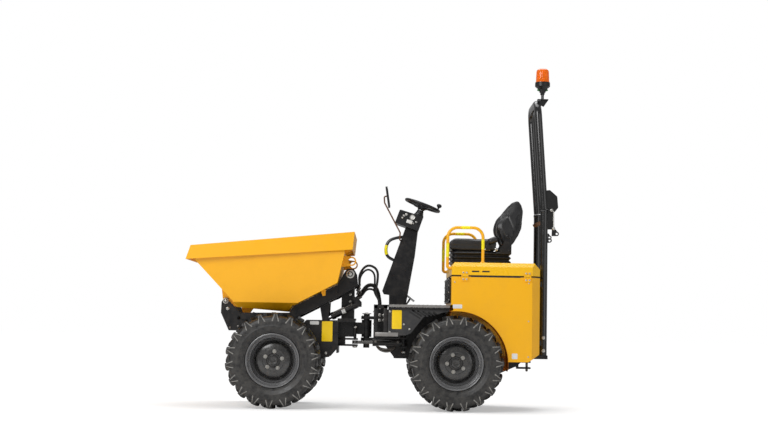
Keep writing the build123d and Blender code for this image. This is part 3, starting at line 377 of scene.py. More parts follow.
def smoothPath(points, order=3, share=12):  # points read from a NURBS line through the route
    data = bpy.data.curves.new("route", "CURVE")
    data.dimensions = "3D"
    line = data.splines.new("NURBS")
    line.points.add(len(points) - 1)
    for p, q in zip(line.points, points):
        p.co = (*q, 1)
    line.order_u = order
    line.use_endpoint_u = True
    line.resolution_u = share
    holder = bpy.data.objects.new("route", data)
    bpy.context.scene.collection.objects.link(holder)
    mesh = bpy.data.meshes.new_from_object(holder)
    path = [v.co.copy() for v in mesh.vertices]
    bpy.data.objects.remove(holder)
    return path


def addTube(bm, path, radius, steps=16, capped=True):  # radius may be a function of the share along the path
    up = Vector((0, 0, 1))
    rings = []
    first = (path[1] - path[0]).normalized()
    side = first.cross(up)
    if side.length < 0.05:
        side = first.cross(Vector((1, 0, 0)))
    side.normalize()
    total = sum((b - a).length for a, b in zip(path, path[1:]))
    run = 0.0
    for i, point in enumerate(path):
        ahead = path[min(i + 1, len(path) - 1)] - path[max(i - 1, 0)]
        ahead.normalize()
        side = (side - ahead * side.dot(ahead)).normalized()
        over = ahead.cross(side)
        if i:
            run += (point - path[i - 1]).length
        r = radius(run / total) if callable(radius) else radius
        rings.append([bm.verts.new(point + (side * math.cos(a) + over * math.sin(a)) * r)
            for a in [2 * math.pi * k / steps for k in range(steps)]])
    bridge(bm, rings)
    if capped:
        bm.faces.new(rings[0][::-1])
        bm.faces.new(rings[-1])


def roundCorners(points, bend, steps=8):  # straight runs joined by arcs, for bent steel tube
    out = [points[0]]
    for a, b, c in zip(points, points[1:], points[2:]):
        u, v = (a - b).normalized(), (c - b).normalized()
        half = math.acos(max(-1, min(1, u.dot(v)))) / 2
        cut = bend / math.tan(half)
        start, end = b + u * cut, b + v * cut
        centre = b + (u + v).normalized() * (bend / math.sin(half))
        for k in range(steps + 1):
            p = start.lerp(end, k / steps)
            out.append(centre + (p - centre).normalized() * bend)
    out.append(points[-1])
    return out


# wheels: chevron tyre and dished rim, one mesh each, placed at the four hubs
tyreShape = {"lugs": 18, "tread": 0.351, "half": 0.131, "steps": 108}
rimShape = {"nuts": 5, "nutCircle": 0.070, "hubCap": 0.036}


def buildTyre():
    bm = bmesh.new()
    half = tyreShape["half"]
    side = [(0.200, 0.098), (0.208, 0.104), (0.216, 0.108), (0.219, 0.114), (0.226, 0.115), (0.230, 0.119),
        (0.246, 0.126), (0.262, 0.1295), (0.265, 0.1312), (0.272, 0.1312), (0.275, 0.130), (0.296, half),
        (0.318, 0.1295), (0.332, 0.125), (0.343, 0.115), (0.349, 0.098), (0.351, 0.07), (0.352, 0.03),
        (0.352, 0.0)]
    profile = side + [(r, -d) for r, d in side[-2::-1]]
    addTurned(bm, profile, tyreShape["steps"], rotated(90, "X"))
    for hand in (-1, 1):
        for n in range(tyreShape["lugs"]):
            turnAt = (n + (0.25 if hand > 0 else -0.25)) * 2 * math.pi / tyreShape["lugs"]
            # distance out, shift along the tread, width at root and top, height of root and top
            cuts = [(0.003, -0.016, 0.030, 0.022, 0.350, 0.3770), (0.030, -0.010, 0.034, 0.024, 0.349, 0.3775),
                (0.060, 0.000, 0.038, 0.026, 0.347, 0.3770), (0.090, 0.012, 0.042, 0.028, 0.344, 0.3750),
                (0.112, 0.016, 0.046, 0.031, 0.334, 0.3720), (0.1285, 0.016, 0.050, 0.034, 0.318, 0.3670),
                (0.1303, 0.016, 0.046, 0.030, 0.296, 0.3560)]
            rings = []
            for out, shift, root, top, low, high in cuts:
                ring = []
                for along, height in ((-root / 2, low), (-top / 2 - 0.003, high - 0.006),
                        (-top / 2, high - 0.0012), (-top / 2 + 0.003, high), (top / 2 - 0.003, high),
                        (top / 2, high - 0.0012), (top / 2 + 0.003, high - 0.006), (root / 2, low)):
                    angle = turnAt + (shift + along) / 0.365
                    ring.append(bm.verts.new((height * math.sin(angle), hand * out, height * math.cos(angle))))
                rings.append(ring)
            bridge(bm, rings, closed=False)
            bm.faces.new(rings[0])
            bm.faces.new(rings[-1])
    return bm


def buildRidges():  # lighter strips painted as highlights on the edges that spread in a V down each lug's end
    bm = bmesh.new()
    for hand in (-1, 1):
        for n in range(tyreShape["lugs"]):
            turnAt = (n + (0.25 if hand > 0 else -0.25)) * 2 * math.pi / tyreShape["lugs"] + 0.016 / 0.365
            for lean in (-1, 1):
                rings = []
                for share in (0, 0.2, 0.6, 1.0):
                    r = 0.366 - 0.058 * share
                    mid = turnAt + lean * (0.007 + 0.018 * share) / r
                    wide = (0.0034 + 0.0022 * share) / r
                    base, top = (0.1268 if share == 0 else 0.1296), (0.1292 if share == 0 else 0.1318)
                    rings.append([bm.verts.new((r * math.sin(a), hand * y, r * math.cos(a))) for a,
                        y in ((mid - wide, base), (mid, top), (mid + wide, base))])
                bridge(bm, rings, closed=False)
    return bm


wheelFacing = rotated(90, "X")  # local Z becomes -Y, the outer side of a left wheel


def buildRim():
    bm = bmesh.new()
    profile = mm((160, -34), (168, -22), (174, 20), (180, 56), (188, 62), (190, 82), (197, 86), (198, 102),
        (205, 108), (211, 112), (211.8, 116.5), (208, 117.8), (203, 115), (197.5, 110), (193.5, 100),
        (193.5, 0), (193.5, -100), (199, -108), (208, -117.8), (211.8, -116.5), (211, -112), (202, -106),
        (196, -98), (188, -90), (176, -50), (164, -36))
    addTurned(bm, profile, 72, wheelFacing, closed=True)
    return bm


def buildDisc():
    bm = bmesh.new()
    addTurned(bm, mm((0, -2), (50, -2), (56, 4), (126, 6), (135, 1), (143, -18), (151, -31), (160, -34),
                   (163, -36), (120, -36), (100, -10), (0, -10)), 72, wheelFacing)
    addTurned(bm, mm((40, -2), (38, 20), (34, 26), (26, 27), (24, 18), (12, 16), (10, 24), (0, 24)), 40,
        wheelFacing)
    addTurned(bm, mm((94, 6), (94, 7.5), (90, 8.5), (84, 7.5), (84, 5)), 60, wheelFacing)
    return bm


def buildNuts():
    bm = bmesh.new()
    for k in range(rimShape["nuts"]):
        angle = math.radians(90 + 72 * k)
        place = Vector((rimShape["nutCircle"] * math.cos(angle), -0.005,
            rimShape["nutCircle"] * math.sin(angle)))
        addBolt(bm, place, (0, -1, 0), size=0.014, stud=True, spin=0.2 + k)
    stem = [Vector((0.120, -0.012, 0.128)), Vector((0.121, -0.040, 0.129)), Vector((0.123, -0.062, 0.131))]
    addTube(bm, stem, 0.0035, 10)
    addTube(bm, [stem[-1], stem[-1] + Vector((0.0006, -0.010, 0.0006))], 0.0048, 10)
    return bm


# the rim barrel's lighter grey finish is a painted reflection of the floor
wheelMeshes = {}
for part, build, finish in (("tyre", buildTyre, "tyreRubber"), ("rim", buildRim, "rimBarrelReflection"),
        ("disc", buildDisc, "rimPaint"), ("nuts", buildNuts, "zincSteel"), ("ridges", buildRidges, "tyreLugHighlight")):
    master = showMesh(part + "Master", build(), None, finish, 35)
    wheelMeshes[part] = master.data
    bpy.data.objects.remove(master)
for place in ("front_left", "front_right", "rear_left", "rear_right"):
    hub = Vector(joints[f"wheel_{place}_spin"]["pos_m"])
    spin = {"front_left": 0.1, "front_right": 0.5, "rear_left": 0.9, "rear_right": 1.3}[place]
    placed = Matrix.Translation(hub) @ Matrix.Rotation(0 if "left" in place else math.pi, 4, "Z")
    for part in wheelMeshes:
        turned = wheelMeshes[part].copy()
        turned.transform(Matrix.Rotation(spin, 4, "Y"))
        piece = bpy.data.objects.new(f"{part}_{place}_shown", turned)
        bpy.context.scene.collection.objects.link(piece)
        piece.matrix_world = placed
        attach(piece, "wheel_" + place)
        if part in ("tyre", "rim"):
            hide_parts(f"{part}_{place}")
print("wheels dressed")

# seat: bellows, bracket plates, stuffed cushion and back
seatShape = {"puff": 4.0, "voxel": 0.007, "cap": 0.010, "calm": 6, "frames": 18, "foldCount": 3,
    "foldDepth": 0.014, "corner": 0.045}


def roundedLoop(half, corner, steps=6):  # (x, y) points of a rounded rectangle
    points = []
    for cx, cy, start in ((1, 1, 0), (-1, 1, 90), (-1, -1, 180), (1, -1, 270)):
        for k in range(steps + 1):
            a = math.radians(start + 90 * k / steps)
            points.append((cx * (half[0] - corner) + corner * math.cos(a),
                cy * (half[1] - corner) + corner * math.sin(a)))
    return points


def buildBellows():
    low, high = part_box("seat_base")
    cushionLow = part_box("seat_cushion")[0].z
    bm = bmesh.new()
    rings, count = [], 40
    mid = Vector((0.862, 0, 0))
    for i in range(count + 1):
        share = i / count
        fold = 0.5 - 0.5 * math.cos(2 * math.pi * share * seatShape["foldCount"])
        inset = 0.003 + seatShape["foldDepth"] * (1 - fold) + 0.012 * (share > 0.97)
        z = low.z + (cushionLow - 0.001 - low.z) * share
        rings.append([bm.verts.new((mid.x + x, y, z)) for x,
            y in roundedLoop((0.249 - inset, 0.224 - inset), seatShape["corner"])])
    bridge(bm, rings)
    bm.faces.new(rings[0][::-1])
    bm.faces.new(rings[-1])
    return bm


bellows = showMesh("seat_bellows", buildBellows(), "cover", "blackPlastic", 50)
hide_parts("seat_base")
bm = bmesh.new()
backPivot = at(1080, 0, 1023)
bracketFace = 0.2335
for hand in (-1, 1):
    facing = Matrix.Translation((0, hand * 0.226, 0)) @ rotated(90, "X")
    outline = [(1010, 880), (1106, 880), (1107, 965), (1104, 1010), (1094, 1037), (1080, 1044), (1066, 1037),
        (1056, 1010), (1040, 958), (1012, 930)]
    place = facing @ Matrix.Translation((0, 0, -0.008 if hand > 0 else 0))
    addPlate(bm, sideOutline(*outline), 0.008, place, 0.0015)
    out = Vector((0, hand, 0))
    addTurned(bm, mm((0, 0), (17, 0), (17, 4), (13, 6.5), (6, 6.5), (5, 4), (0, 4)), 28,
        axisFrame(Vector((backPivot.x, hand * bracketFace, backPivot.z)), out))
    for x, h in ((1030, 900), (1088, 905)):
        addBolt(bm, at(x, hand * 233.5, h), out, 0.006)
showMesh("seat_brackets", bm, "cover", "steelPaint", 40)


# averages each vector with its neighbours, so that the skin never folds over itself
def evened(vectors, edges):
    pairs = [tuple(edge.vertices) for edge in edges]
    for turn in range(seatShape["calm"]):
        total = [vector.copy() for vector in vectors]
        count = [1] * len(vectors)
        for a, b in pairs:
            total[a] += vectors[b]
            total[b] += vectors[a]
            count[a] += 1
            count[b] += 1
        vectors = [vector / many for vector, many in zip(total, count)]
    return vectors


def stuffed(name, outline, half, node, drop):  # swells a soft block with cloth, then sews its channels
    bm = bmesh.new()
    facing = Matrix.Translation((0, half, 0)) @ rotated(90, "X")
    addPlate(bm, sideOutline(*outline), 2 * half, facing)
    bmesh.ops.recalc_face_normals(bm, faces=bm.faces)
    edges = [e for e in bm.edges if e.calc_face_angle(0) > 0.5]
    bmesh.ops.bevel(bm, geom=edges, offset=0.014, segments=3, affect="EDGES", profile=0.5, clamp_overlap=True)
    piece = showMesh(name, bm, None, "seatVinyl", 60)
    remesh = piece.modifiers.new("even", "REMESH")
    remesh.mode = "VOXEL"
    remesh.voxel_size = seatShape["voxel"]
    bpy.context.view_layer.objects.active = piece
    bpy.ops.object.modifier_apply(modifier="even")
    before = [v.co.copy() for v in piece.data.vertices]
    cloth = piece.modifiers.new("swell", "CLOTH")
    cloth.settings.use_pressure = True
    cloth.settings.uniform_pressure_force = seatShape["puff"]
    cloth.settings.effector_weights.gravity = 0
    cloth.settings.quality = 4
    cloth.collision_settings.use_collision = False
    for number in range(1, seatShape["frames"] + 1):
        bpy.context.scene.frame_set(number)
    swollen = piece.evaluated_get(bpy.context.evaluated_depsgraph_get()).data
    after = [v.co.copy() for v in swollen.vertices]
    piece.modifiers.remove(cloth)
    bpy.context.scene.frame_set(1)
    moves = evened([new - old for old, new in zip(before, after)], piece.data.edges)
    for vert, old, move in zip(piece.data.vertices, before, moves):
        if move.length > seatShape["cap"]:
            move *= seatShape["cap"] / move.length
        vert.co = old + move
    low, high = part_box(node)
    normals = evened([vert.normal.copy() for vert in piece.data.vertices], piece.data.edges)
    for vert, normal in zip(piece.data.vertices, normals):
        vert.co += drop(vert.co, normal.normalized())
        for axis in range(3):
            vert.co[axis] = min(max(vert.co[axis], low[axis] - 0.002), high[axis] + 0.002)
    smooth = piece.modifiers.new("soft", "SUBSURF")
    smooth.levels = smooth.render_levels = 1
    bpy.ops.object.modifier_apply(modifier="soft")
    for face in piece.data.polygons:
        face.use_smooth = True
    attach(piece, "cover")
    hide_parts(node)
    return piece


def groove(value, seam, wide):
    gap = abs(value - seam) / wide
    return math.exp(-gap * gap)


def cushionSeams(co, normal):
    depth = 0.0
    if normal.z > 0.25:
        for seam in (0.690, 0.765, 0.840, 0.915):
            depth += 0.0055 * groove(co.x, seam, 0.008) * (abs(co.y) < 0.132)
        depth += 0.008 * groove(abs(co.y), 0.138, 0.009)
        depth += 0.006 * (1 - min(1, abs(co.y) / 0.135)) ** 0.5
    if abs(normal.z) < 0.5:
        depth += 0.004 * groove(co.z, cushionMid, 0.006)
    return -normal * depth


backTaper = {"from": 1.42, "over": 0.30, "inward": 0.26}


def backSeams(co, normal):
    depth = 0.0
    front = min(1, max(0, (-normal.x - 0.15) / 0.25))
    depth += front * 0.022 * (1 - min(1, (abs(co.y) / 0.155) ** 3))
    depth += front * 0.007 * groove(abs(co.y), 0.128, 0.010)
    for seam in (1.445, 1.515, 1.585):
        depth += front * 0.005 * groove(co.z, seam, 0.008) * (abs(co.y) < 0.12)
    if abs(normal.y) > 0.6:
        depth += 0.006 * groove(co.x + 0.42 * (co.z - 1.5), 1.105, 0.008)
    pull = -normal * depth
    share = max(0.0, (co.z - backTaper["from"]) / backTaper["over"])
    pull.y -= co.y * backTaper["inward"] * share * share * (3 - 2 * min(1, share))
    return pull


cushionLow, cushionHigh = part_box("seat_cushion")
cushionMid = (cushionLow.z + cushionHigh.z) / 2 - 0.008
top, base = (cushionHigh.z - axleZ) * 1000, (cushionLow.z - axleZ) * 1000
stuffed("seat_cushion_shown", [(604, base + 12), (592, base + 40), (596, top - 30), (622, top - 9),
    (700, top - 4), (840, top - 10), (940, top - 7), (990, top - 14), (997, top - 40), (992, base + 8),
    (860, base + 3), (700, base + 3)], 0.212, "seat_cushion", cushionSeams)
stuffed("seat_back_shown", [(1012, 1172), (990, 1130), (984, 1094), (1016, 1036), (1052, 960), (1070, 925),
    (1100, 948), (1126, 985), (1160, 1050), (1187, 1141), (1198, 1240), (1192, 1290), (1172, 1324),
    (1148, 1326), (1120, 1300), (1060, 1230)], 0.208, "seat_back", backSeams)
bm = bmesh.new()
addBox(bm, (0.898, -0.2395, 1.288), (0.935, -0.2265, 1.330), 0.004)
addTube(bm, [Vector(p) for p in ((0.915, -0.233, 1.326), (0.918, -0.232, 1.352), (0.940, -0.229, 1.372),
    (0.972, -0.224, 1.380))], 0.006, 10)
addBox(bm, (0.600, -0.030, 1.292), (0.616, 0.030, 1.300), 0.003)
showMesh("seat_belt_buckle", bm, "cover", "blackPlastic", 40)
print("seat dressed")

# steering: wheel, dash panel with dial and switches, mirror, grab handle
steering = {"ring": 0.142, "grip": 0.0125, "spokes": 3, "knobAt": 0.112}
hub = Vector(joints["steering_wheel_turn"]["pos_m"])
wheelAxis = Vector(joints["steering_wheel_turn"]["axis"]).normalized()
wheelFrame = axisFrame(hub, wheelAxis)
side = wheelFrame.to_3x3().inverted() @ Vector((1, 0, 0))
rearward = math.atan2(side.y, side.x)
bm = bmesh.new()
profile = [(steering["ring"] + steering["grip"] * math.cos(a),
    steering["grip"] * math.sin(a)) for a in [2 * math.pi * k / 14 for k in range(14)]]
addTurned(bm, profile, 72, wheelFrame, closed=True)
addTurned(bm, mm((0, -42), (26, -42), (30, -36), (34, -16), (38, -8), (36, -2), (22, 4), (0, 5)), 32,
    wheelFrame)
for k in range(steering["spokes"]):
    a = rearward + math.radians(60 + 120 * k)
    out = Vector((math.cos(a), math.sin(a), 0))
    path = [wheelFrame @ (out * r + Vector((0, 0, z))) for r,
        z in ((0.022, -0.022), (0.055, -0.020), (0.090, -0.010), (0.120, -0.002), (0.138, 0.0))]
    addTube(bm, path, lambda t: 0.010 - 0.003 * t, 10)
knobFoot = Vector((math.cos(rearward), math.sin(rearward), 0)) * steering["ring"]
addTurned(bm, mm((0, 10), (7, 10), (7, 26), (15, 32), (21, 42), (21, 50), (15, 58), (7, 60.5), (0, 60.5)), 24,
    wheelFrame @ Matrix.Translation(knobFoot * 0.92))
wheel = showMesh("steering_wheel_shown", bm, "steering", "blackPlastic", 45)
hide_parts("steering_wheel")
dashLow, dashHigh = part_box("dash_box")
tilt = math.radians(-17.0)
panelSpot = Vector(((dashLow.x + dashHigh.x) / 2 - 0.004, dashLow.y, (dashLow.z + dashHigh.z) / 2 + 0.012))


def onDash(right, up, out=0.0):  # a place on the dash panel's left face, in its own tilt
    return panelSpot + Vector((right * math.cos(tilt) + up * math.sin(tilt), -out,
        right * math.sin(tilt) + up * math.cos(tilt)))


bm = bmesh.new()
addTurned(bm, mm((0, 1), (15, 1), (16, 4), (21, 5), (22.5, 2), (22.5, 0), (0, 0)), 32,
    axisFrame(onDash(0.038, 0.024), (0, -1, 0)))
for right, up, size in ((-0.010, 0.034, 0.009), (-0.058, -0.010, 0.0065), (0.020, -0.002, 0.006),
        (0.062, -0.008, 0.007), (0.030, -0.030, 0.006), (-0.035, 0.016, 0.0075)):
    addTurned(bm, [(0, size), (size * 0.7, size * 0.9), (size * 0.8, 0.003), (size * 1.1, 0.002),
        (size * 1.1, 0), (0, 0)], 18, axisFrame(onDash(right, up), (0, -1, 0)))
showMesh("dash_switches", bm, "rear_frame", "zincSteel", 40)
bm = bmesh.new()
addTurned(bm, mm((0, 3), (14.5, 3), (14.5, 1), (0, 1)), 28, axisFrame(onDash(0.038, 0.024, 0.0005), (0, -1, 0)))
for k in range(9):
    a = math.radians(-130 + 32 * k)
    spot = onDash(0.038 + 0.012 * math.sin(a), 0.024 + 0.012 * math.cos(a), 0.0037)
    addBox(bm, (-0.0006, -0.0006, -0.0014), (0.0006, 0.0002, 0.0014), 0, Matrix.Translation(spot))
showMesh("dash_dial_face", bm, "rear_frame", "labelWhite", 40)
bm = bmesh.new()
turned = Matrix.Rotation(-tilt, 4, "Y")
addBox(bm, (-0.024, -0.0012, -0.014), (0.024, 0.0008, 0.014), 0.0015,
    Matrix.Translation(onDash(-0.002, -0.026)) @ turned)
showMesh("dash_plate_blank", bm, "rear_frame", "labelWhite", 40)
mirrorLow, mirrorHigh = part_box("mirror")
bm = bmesh.new()
glassFrame = axisFrame((mirrorLow + mirrorHigh) / 2 + Vector((0.0082, 0, 0.0012)), (0.988, 0, 0.151))
addPlate(bm, [(y, x) for x, y in roundedLoop((0.078, 0.052), 0.016)], 0.0012, glassFrame)
showMesh("mirror_glass", bm, "rear_frame", "mirrorGlass", 30)
grip = [at(*p) for p in ((240, 0, 1020), (150, 0, 1012), (92, 0, 960), (92, 0, 860), (170, 0, 820),
    (200, 0, 812))]
gripPath = smoothPath(grip, 3, 14)
bm = bmesh.new()
addTube(bm, gripPath, 0.0125, 16)
handle = showMesh("grab_handle_shown", bm, "rear_frame", "barPaint", 50)
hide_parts("grab_handle")
bm = bmesh.new()
addTube(bm, [p for p in gripPath if 0.872 < p.z - axleZ < 0.950 and p.x < 0.125], 0.0136, 16)
showMesh("grab_handle_band", bm, "rear_frame", "tapeYellow", 50)
print("driver's place dressed")

# hoses over the centre pivot: front ends stay with the front half, rear ends with the rear
hoseEnds = [(52, 480), (52, 396)]
hoses = [
    ("lift", 10, -44, [(-132, 560), (-116, 600), (-128, 700), (-62, 790), (30, 750), (28, 640), (8, 560)]),
    ("tip", 8, -20, [(-134, 590), (-118, 620), (-118, 690), (-60, 755), (4, 720), (6, 620), (-2, 560)]),
    ("steer", 9, 4, [(-134, 500), (-106, 520), (-60, 590), (10, 580)]),
    ("sheathed", 16, 36, [(-126, 530), (-100, 560), (-50, 625), (20, 610)]),
]
fittings = bmesh.new()
frontFittings = bmesh.new()
for name, radius, y, points in hoses:
    route = [at(x, y, h) for x, h in points + hoseEnds]
    path = smoothPath(route, 3, 10)
    bm = bmesh.new()
    ribs = (lambda t: 0.016 + 0.0012 * math.cos(t * 2 * math.pi * 46)) if name == "sheathed" else radius / 1000
    if name == "sheathed":
        fine = []
        for a, b in zip(path, path[1:]):
            fine += [a.lerp(b, k / 5) for k in range(5)]
        path = fine + [path[-1]]
    addTube(bm, path, ribs, 14)
    hose = showMesh("hose_" + name, bm, None, "hoseRubber", 60)
    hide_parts("hydraulic_hoses")
    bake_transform(hose)
    r = radius / 1000
    crimp = [(0, 0), (r * 1.25, 0), (r * 1.25, 0.006), (r * 1.12, 0.008), (r * 1.2, 0.012), (r * 1.2, 0.030),
        (r * 1.05, 0.034), (0, 0.034)]
    addTurned(fittings, crimp, 18, axisFrame(route[-1] + Vector((0, 0, 0.0005)), (0, 0, 1)))
    start = (route[0] - route[1]).normalized()
    addTurned(frontFittings, crimp, 18, axisFrame(route[0] - start * 0.006, -start))
    addTurned(frontFittings, [(0, -0.026), (r * 0.7, -0.026), (r * 0.7, 0.002), (0, 0.002)], 16,
        axisFrame(route[0], -start))
showMesh("hose_fittings_rear", fittings, "rear_frame", "darkSteel", 40)
showMesh("hose_fittings_front", frontFittings, "front_frame", "darkSteel", 40)
print("hoses laid")

# guard rails beside the seat, with bands of brighter tape
rails = {"bend": 0.080, "tube": 0.0122, "tape": 0.0128}
bands = bmesh.new()
bm = bmesh.new()
for hand in (-1, 1):
    y = hand * 400
    route = [at(613, y, 752), at(583, y, 752), at(583, y, 1078), at(864, y, 1078), at(864, y, 798.5)]
    low = roundCorners(route[:3], 0.018)[:-1]
    high = roundCorners(route[1:], rails["bend"], 12)[1:]
    path = low + high
    addTube(bm, path, rails["tube"], 20)
    addTube(bands, [at(690, y, 1078), at(760, y, 1078)], rails["tape"], 20)
    addTube(bands, [at(864, y, 905), at(864, y, 985)], rails["tape"], 20)
    addTube(bands, [at(583, y, 840), at(583, y, 950)], rails["tape"], 20)
    addTurned(bm, mm((0, 0), (26, 0), (26, 3), (18, 6), (14, 12), (0, 12)), 24,
        axisFrame(at(864, y, 798.2), (0, 0, 1)))
railPiece = showMesh("guard_rails_shown", bm, "cover", "bodyPaint", 50)
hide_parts("guard_rails")
showMesh("guard_rail_tape", bands, "cover", "tapeYellow", 50)

# cover and body: hinge bolts, hand slots, cooler grille, rear louvres and latch
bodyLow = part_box("body_side_left")[0]
hinge = {"boltX": (706, 732, 1202, 1228), "boltSize": 0.006}
for body, name, inward, h in (("cover", "cover_hinge_bolts", 0.002, 0.716),
        ("rear_frame", "body_hinge_bolts", 0.0005, 0.664)):
    bm = bmesh.new()
    for x in hinge["boltX"]:
        addBolt(bm, Vector((x / 1000, bodyLow.y + inward, h + axleZ)), (0, -1, 0), hinge["boltSize"])
    showMesh(name, bm, body, "zincSteel", 40)
# hand slots in the cover drawn as dark plates that paint the shade inside the openings
bm = bmesh.new()
for hand in (-1, 1):
    for x in (802, 884):
        facing = facingSide((x / 1000, hand * 0.4802, 0.727 + axleZ), hand)
        addPlate(bm, roundedLoop((0.030, 0.0055), 0.0052), 0.0010, facing)
showMesh("cover_hand_slot_shade", bm, "cover", "sealRubber", 40)
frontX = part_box("body_front")[0].x
bm = bmesh.new()
grille = {"front": frontX - 0.016, "back": frontX - 0.001, "half": 0.390, "low": 0.480 + axleZ,
    "high": 0.678 + axleZ, "soft": 0.002, "slats": 12}
for low, high in ((grille["low"], 0.494 + axleZ), (0.664 + axleZ, grille["high"])):
    addBox(bm, (grille["front"], -grille["half"], low), (grille["back"], grille["half"], high), grille["soft"])
for y in (-0.390, -0.135, 0.121, 0.376):
    addBox(bm, (grille["front"], y, grille["low"]), (grille["back"], y + 0.014, grille["high"]), grille["soft"])
for k in range(grille["slats"]):
    z = axleZ + 0.500 + 0.0138 * k
    slat = Matrix.Translation((frontX - 0.008, 0, z)) @ rotated(35, "Y")
    addBox(bm, (-0.007, -0.385, -0.001), (0.007, 0.385, 0.001), 0, slat)
showMesh("cooler_grille", bm, "rear_frame", "steelPaint", 30)
bm = bmesh.new()
for y in (-0.383, 0.383):
    for h in (500, 560, 615, 668):
        addBolt(bm, Vector((grille["front"], y, h / 1000 + axleZ)), (-1, 0, 0), 0.005)
showMesh("cooler_grille_bolts", bm, "rear_frame", "zincSteel", 40)
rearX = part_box("body_rear")[1].x
bm = bmesh.new()
for k in range(7):
    for side in (-1, 1):
        z = axleZ + 0.430 + 0.026 * k
        y = side * 0.115
        outline = mm((0, 0), (7.5, 3), (7.5, 6), (0, 18))
        placed = Matrix.Translation((rearX - 0.0005, y + 0.080, z)) @ rotated(90, "X")
        addPlate(bm, outline, 0.160, placed)
showMesh("rear_louvres", bm, "rear_frame", "bodyPaint", 30)
bm = bmesh.new()
addBox(bm, (rearX - 0.0005, -0.030, 0.640 + axleZ), (rearX + 0.006, 0.030, 0.672 + axleZ), 0.003)
addTurned(bm, mm((0, 10), (9, 10), (11, 6), (11, 0), (0, 0)), 20,
    axisFrame(Vector((rearX + 0.005, 0, 0.656 + axleZ)), (1, 0, 0)))
showMesh("rear_latch", bm, "rear_frame", "blackPlastic", 40)
bm = bmesh.new()
for y in (-0.35, 0.35):
    for h in (200, 400, 620):
        addBolt(bm, Vector((rearX - 0.0005, y, h / 1000 + axleZ)), (1, 0, 0), 0.006)
for hand in (-1, 1):
    for x, h in ((0.640, 640), (1.225, 640), (1.225, 60), (1.225, 340)):
        addBolt(bm, Vector((x, hand * 0.4798, h / 1000 + axleZ)), (0, hand, 0), 0.005)
showMesh("body_bolts", bm, "rear_frame", "zincSteel", 40)
print("body dressed")

# blank plates: name, body, finish, low corner, high corner
labelThick = 0.0009
plates = [
    ("chassis_label_left", "front_frame", "labelYellow", (-415, -190, 152), (-329, -190, 314)),
    ("chassis_tag_left", "front_frame", "labelWhite", (-512, -190, 286), (-440, -190, 314)),
    ("panel_label_left", "rear_frame", "labelYellow", (148, -384, 262), (226, -384, 412)),
    ("panel_label_right", "rear_frame", "labelYellow", (148, 384, 262), (226, 384, 412)),
    ("body_tag_left", "rear_frame", "labelWhite", (626, -480, 432), (700, -480, 464)),
    ("body_tag_low", "rear_frame", "labelWhite", (1096, -480, 42), (1140, -480, 86)),
]
for name, body, finish, low, high in plates:
    hand = -1 if low[1] < 0 else 1
    bm = bmesh.new()
    wide, tall = (high[0] - low[0]) / 2000, (high[2] - low[2]) / 2000
    facing = facingSide(at((low[0] + high[0]) / 2, low[1], (low[2] + high[2]) / 2), hand)
    addPlate(bm, roundedLoop((wide, tall), 0.006), labelThick, facing, 0.0003)
    if finish == "labelYellow":
        addPlate(bm, roundedLoop((wide - 0.004, tall - 0.004), 0.004), labelThick + 0.0003, facing, 0.0002)
    showMesh(name, bm, body, finish, 30)
rearZ = 0.30 + axleZ
bm = bmesh.new()
addPlate(bm, roundedLoop((0.055, 0.035), 0.004), 0.0012, axisFrame(Vector((rearX, 0.20, rearZ)), (1, 0, 0)),
    0.0004)
showMesh("rear_plate_blank", bm, "rear_frame", "labelWhite", 30)

# front half: pins, bolts, ram pipes and blank tags
pinAt = Vector(joints["lift"]["pos_m"])
skipPin = Vector(joints["tip"]["pos_m"])
bm = bmesh.new()
bright = bmesh.new()
for hand in (-1, 1):
    out = Vector((0, hand, 0))
    face = hand * 0.265
    for centre, r in ((pinAt, 0.034), (skipPin, 0.024)):
        spot = Vector((centre.x, face, centre.z))
        addTurned(bright, [(0, 0.0135), (r * 0.34, 0.0135), (r * 0.42, 0.012), (r * 0.45, 0.009),
            (r * 0.80, 0.009), (r * 0.86, 0.007), (r, 0.006), (r, 0), (0, 0)], 32, axisFrame(spot, out))
    for x, h, size in ((-336, 541, 0.011), (-1172, 402, 0.011), (-330, 520, 0.005)):
        addBolt(bright, at(x, 0, h) + Vector((0, face, 0)), out, size)
    for x, h in ((-1150, 250), (-1085, 262)):
        addBolt(bm, at(x, 0, h) + Vector((0, face, 0)), out, 0.008)
showMesh("lift_frame_pins", bright, "lift_frame", "zincSteel", 40)
showMesh("lift_frame_bolts", bm, "lift_frame", "darkSteel", 40)
bm = bmesh.new()
for hand in (-1, 1):
    out = Vector((0, hand, 0))
    for x, h in ((-192, 535), (-192, 479)):
        addBolt(bm, at(x, hand * 105, h), out, 0.010)
    for x, h in ((-380, 58), (-560, 250), (-900, 250), (-620, 20)):
        addBolt(bm, at(x, hand * 190, h), out, 0.009)
showMesh("front_chassis_bolts", bm, "front_frame", "zincSteel", 40)
bm = bmesh.new()
tags = bmesh.new()
low, high = Vector(joints["lift_ram_swing"]["pos_m"]), Vector(joints["lift_ram_stroke"]["axis"])
for hand in (-1, 1):
    foot = low + Vector((0, hand * 0.142, 0))
    for share in (0.060, 0.215):
        port = foot + high * share
        addTurned(bm, mm((0, 44), (6, 44), (7, 36), (10, 35), (10, 26), (8, 25), (8, 20), (0, 20)), 14,
            axisFrame(port, (0, hand, 0.6)))
    pipe = [foot + high * s + Vector((0, hand * 0.030, 0.018)) for s in (0.215, 0.16, 0.10, 0.060)]
    addTube(bm, pipe, 0.004, 10)
    mid = foot + high * 0.135
    addTurned(tags, mm((26.2, -15), (26.6, -15), (26.6, 15), (26.2, 15)), 28, axisFrame(mid, high), closed=True)
showMesh("lift_ram_pipes", bm, "lift_barrels", "darkSteel", 40)
showMesh("lift_ram_tags", tags, "lift_barrels", "labelWhite", 40)
bm = bmesh.new()
foot, along = Vector(joints["steering_ram_swing"]["pos_m"]), Vector(joints["steering_ram_stroke"]["axis"])
